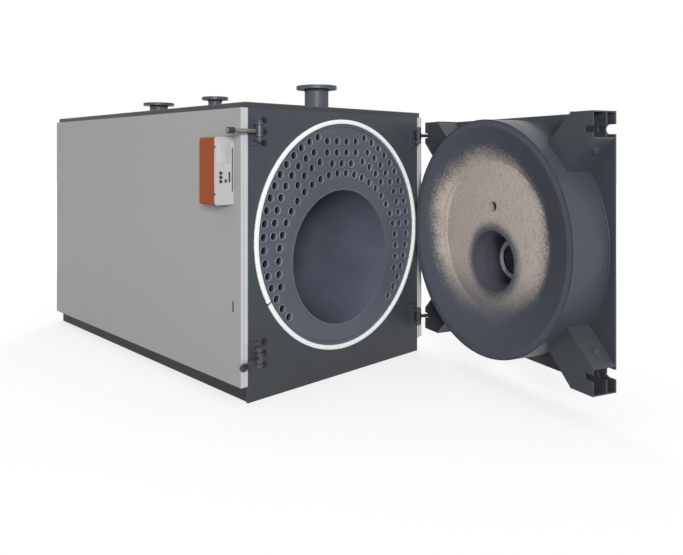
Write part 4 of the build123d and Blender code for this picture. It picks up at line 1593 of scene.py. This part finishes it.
def finishes_for(layout: Layout) -> Finishes:
    """Build the finishes that don't depend on the door.

    Args:
        layout: Places that the soot, the rope's weave and the painted eyes follow.

    Returns:
        The named materials.
    """
    mouth = layout.front + layout.recess
    eyes = tuple(layout.bolt_pivots.values())
    finishes = Finishes()
    for finish in (
        Paint("boiler_paint", linear(64, 69, 75), roughness=0.42, grime=0.40),
        # Soot with painted shade darkens the tube bores deeper than their mouths.
        Paint("tube_plate_paint", linear(84, 88, 98), soot_and_shade_from=mouth + 0.004, soot_and_shade_to=mouth + 0.040),
        # Paler than the tube plate: wear with a painted highlight on the tube rims.
        Paint("tube_end_highlight_paint", linear(122, 127, 138), roughness=0.34, gloss=0.5, clouds=0.3),
        Paint("hardware_paint", linear(66, 69, 77), clouds=0.2),
        Paint("nozzle_paint", linear(72, 79, 84), roughness=0.42),
        Paint("casing_paint", linear(155, 155, 156), roughness=0.40, clouds=0.03, dust=0.04),
        # A lit copy of the casing paint: painted light on the side panels' front-facing folds.
        Paint("casing_paint_lit_copy", linear(190, 190, 193), roughness=0.36, clouds=0.03, dust=0.04),
        Paint("roof_paint", linear(60, 60, 65), roughness=0.40, clouds=0.05),
        Paint("base_paint", linear(42, 42, 42), roughness=0.55, clouds=0.18, dust=0.25),
        Paint("furnace_paint", linear(90, 95, 109), roughness=0.60, clouds=0.16, dust=0.0),
        BareSteel("furnace_steel", linear(96, 98, 108), roughness=0.52, metallic=0.35, stretch=(6, 1, 6), rust=0.30),
        BareSteel("zinc_steel", linear(176, 174, 168)),
        # Bare steel made paler than it is: painted light for the burner ring inside the shaded bore.
        BareSteel("ring_steel_painted_light", linear(206, 206, 211), metallic=0.1, rust=0.05),
        BareSteel("bolt_steel", linear(112, 110, 107), metallic=0.5, rust=0.18, eyes=eyes),
        # Darker copy of bolt_steel for the lower swing bolt: painted shade.
        BareSteel("bolt_steel_painted_shade", linear(66, 64, 63), metallic=0.5, rust=0.18, eyes=eyes),
        # Near-black bolt heads: painted shadow of the clamp lugs.
        Paint("bolt_painted_shadow", linear(34, 34, 38), clouds=0.15),
        BareSteel("nut_steel", linear(52, 51, 52), roughness=0.5, metallic=0.4),
        RopePacking("rope_packing", linear(236, 240, 238), layout.axis_z, 0.755),
        Moulding("cover_orange", linear(142, 64, 22)),
        Moulding("fascia_pale", linear(184, 181, 180), roughness=0.45),
        Moulding("knob_black", linear(60, 58, 62), roughness=0.42),
        # Dark sheet for the grip slot: painted shade of the recess.
        Moulding("grip_painted_shade", linear(92, 88, 87), roughness=0.8),
        HeatGlass("heat_glass", linear(205, 220, 214)),
    ):
        finishes.add(finish)
    return finishes


def main() -> None:
    """Load the frame, dress each sub-assembly in turn and set up the studio."""
    logging.basicConfig(level=logging.INFO, format="%(name)s: %(message)s")
    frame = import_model()
    layout = Layout(frame["nodes"], frame["record"])
    finishes = finishes_for(layout)
    for part in (PressureFront, Casing, RoofConnections, RearFittings, ControlBox, Door, Clamps):
        part(layout, finishes).build()
        LOG.info("%s done", part.__name__)
    Studio().build()


if __name__ == "__main__":
    main()
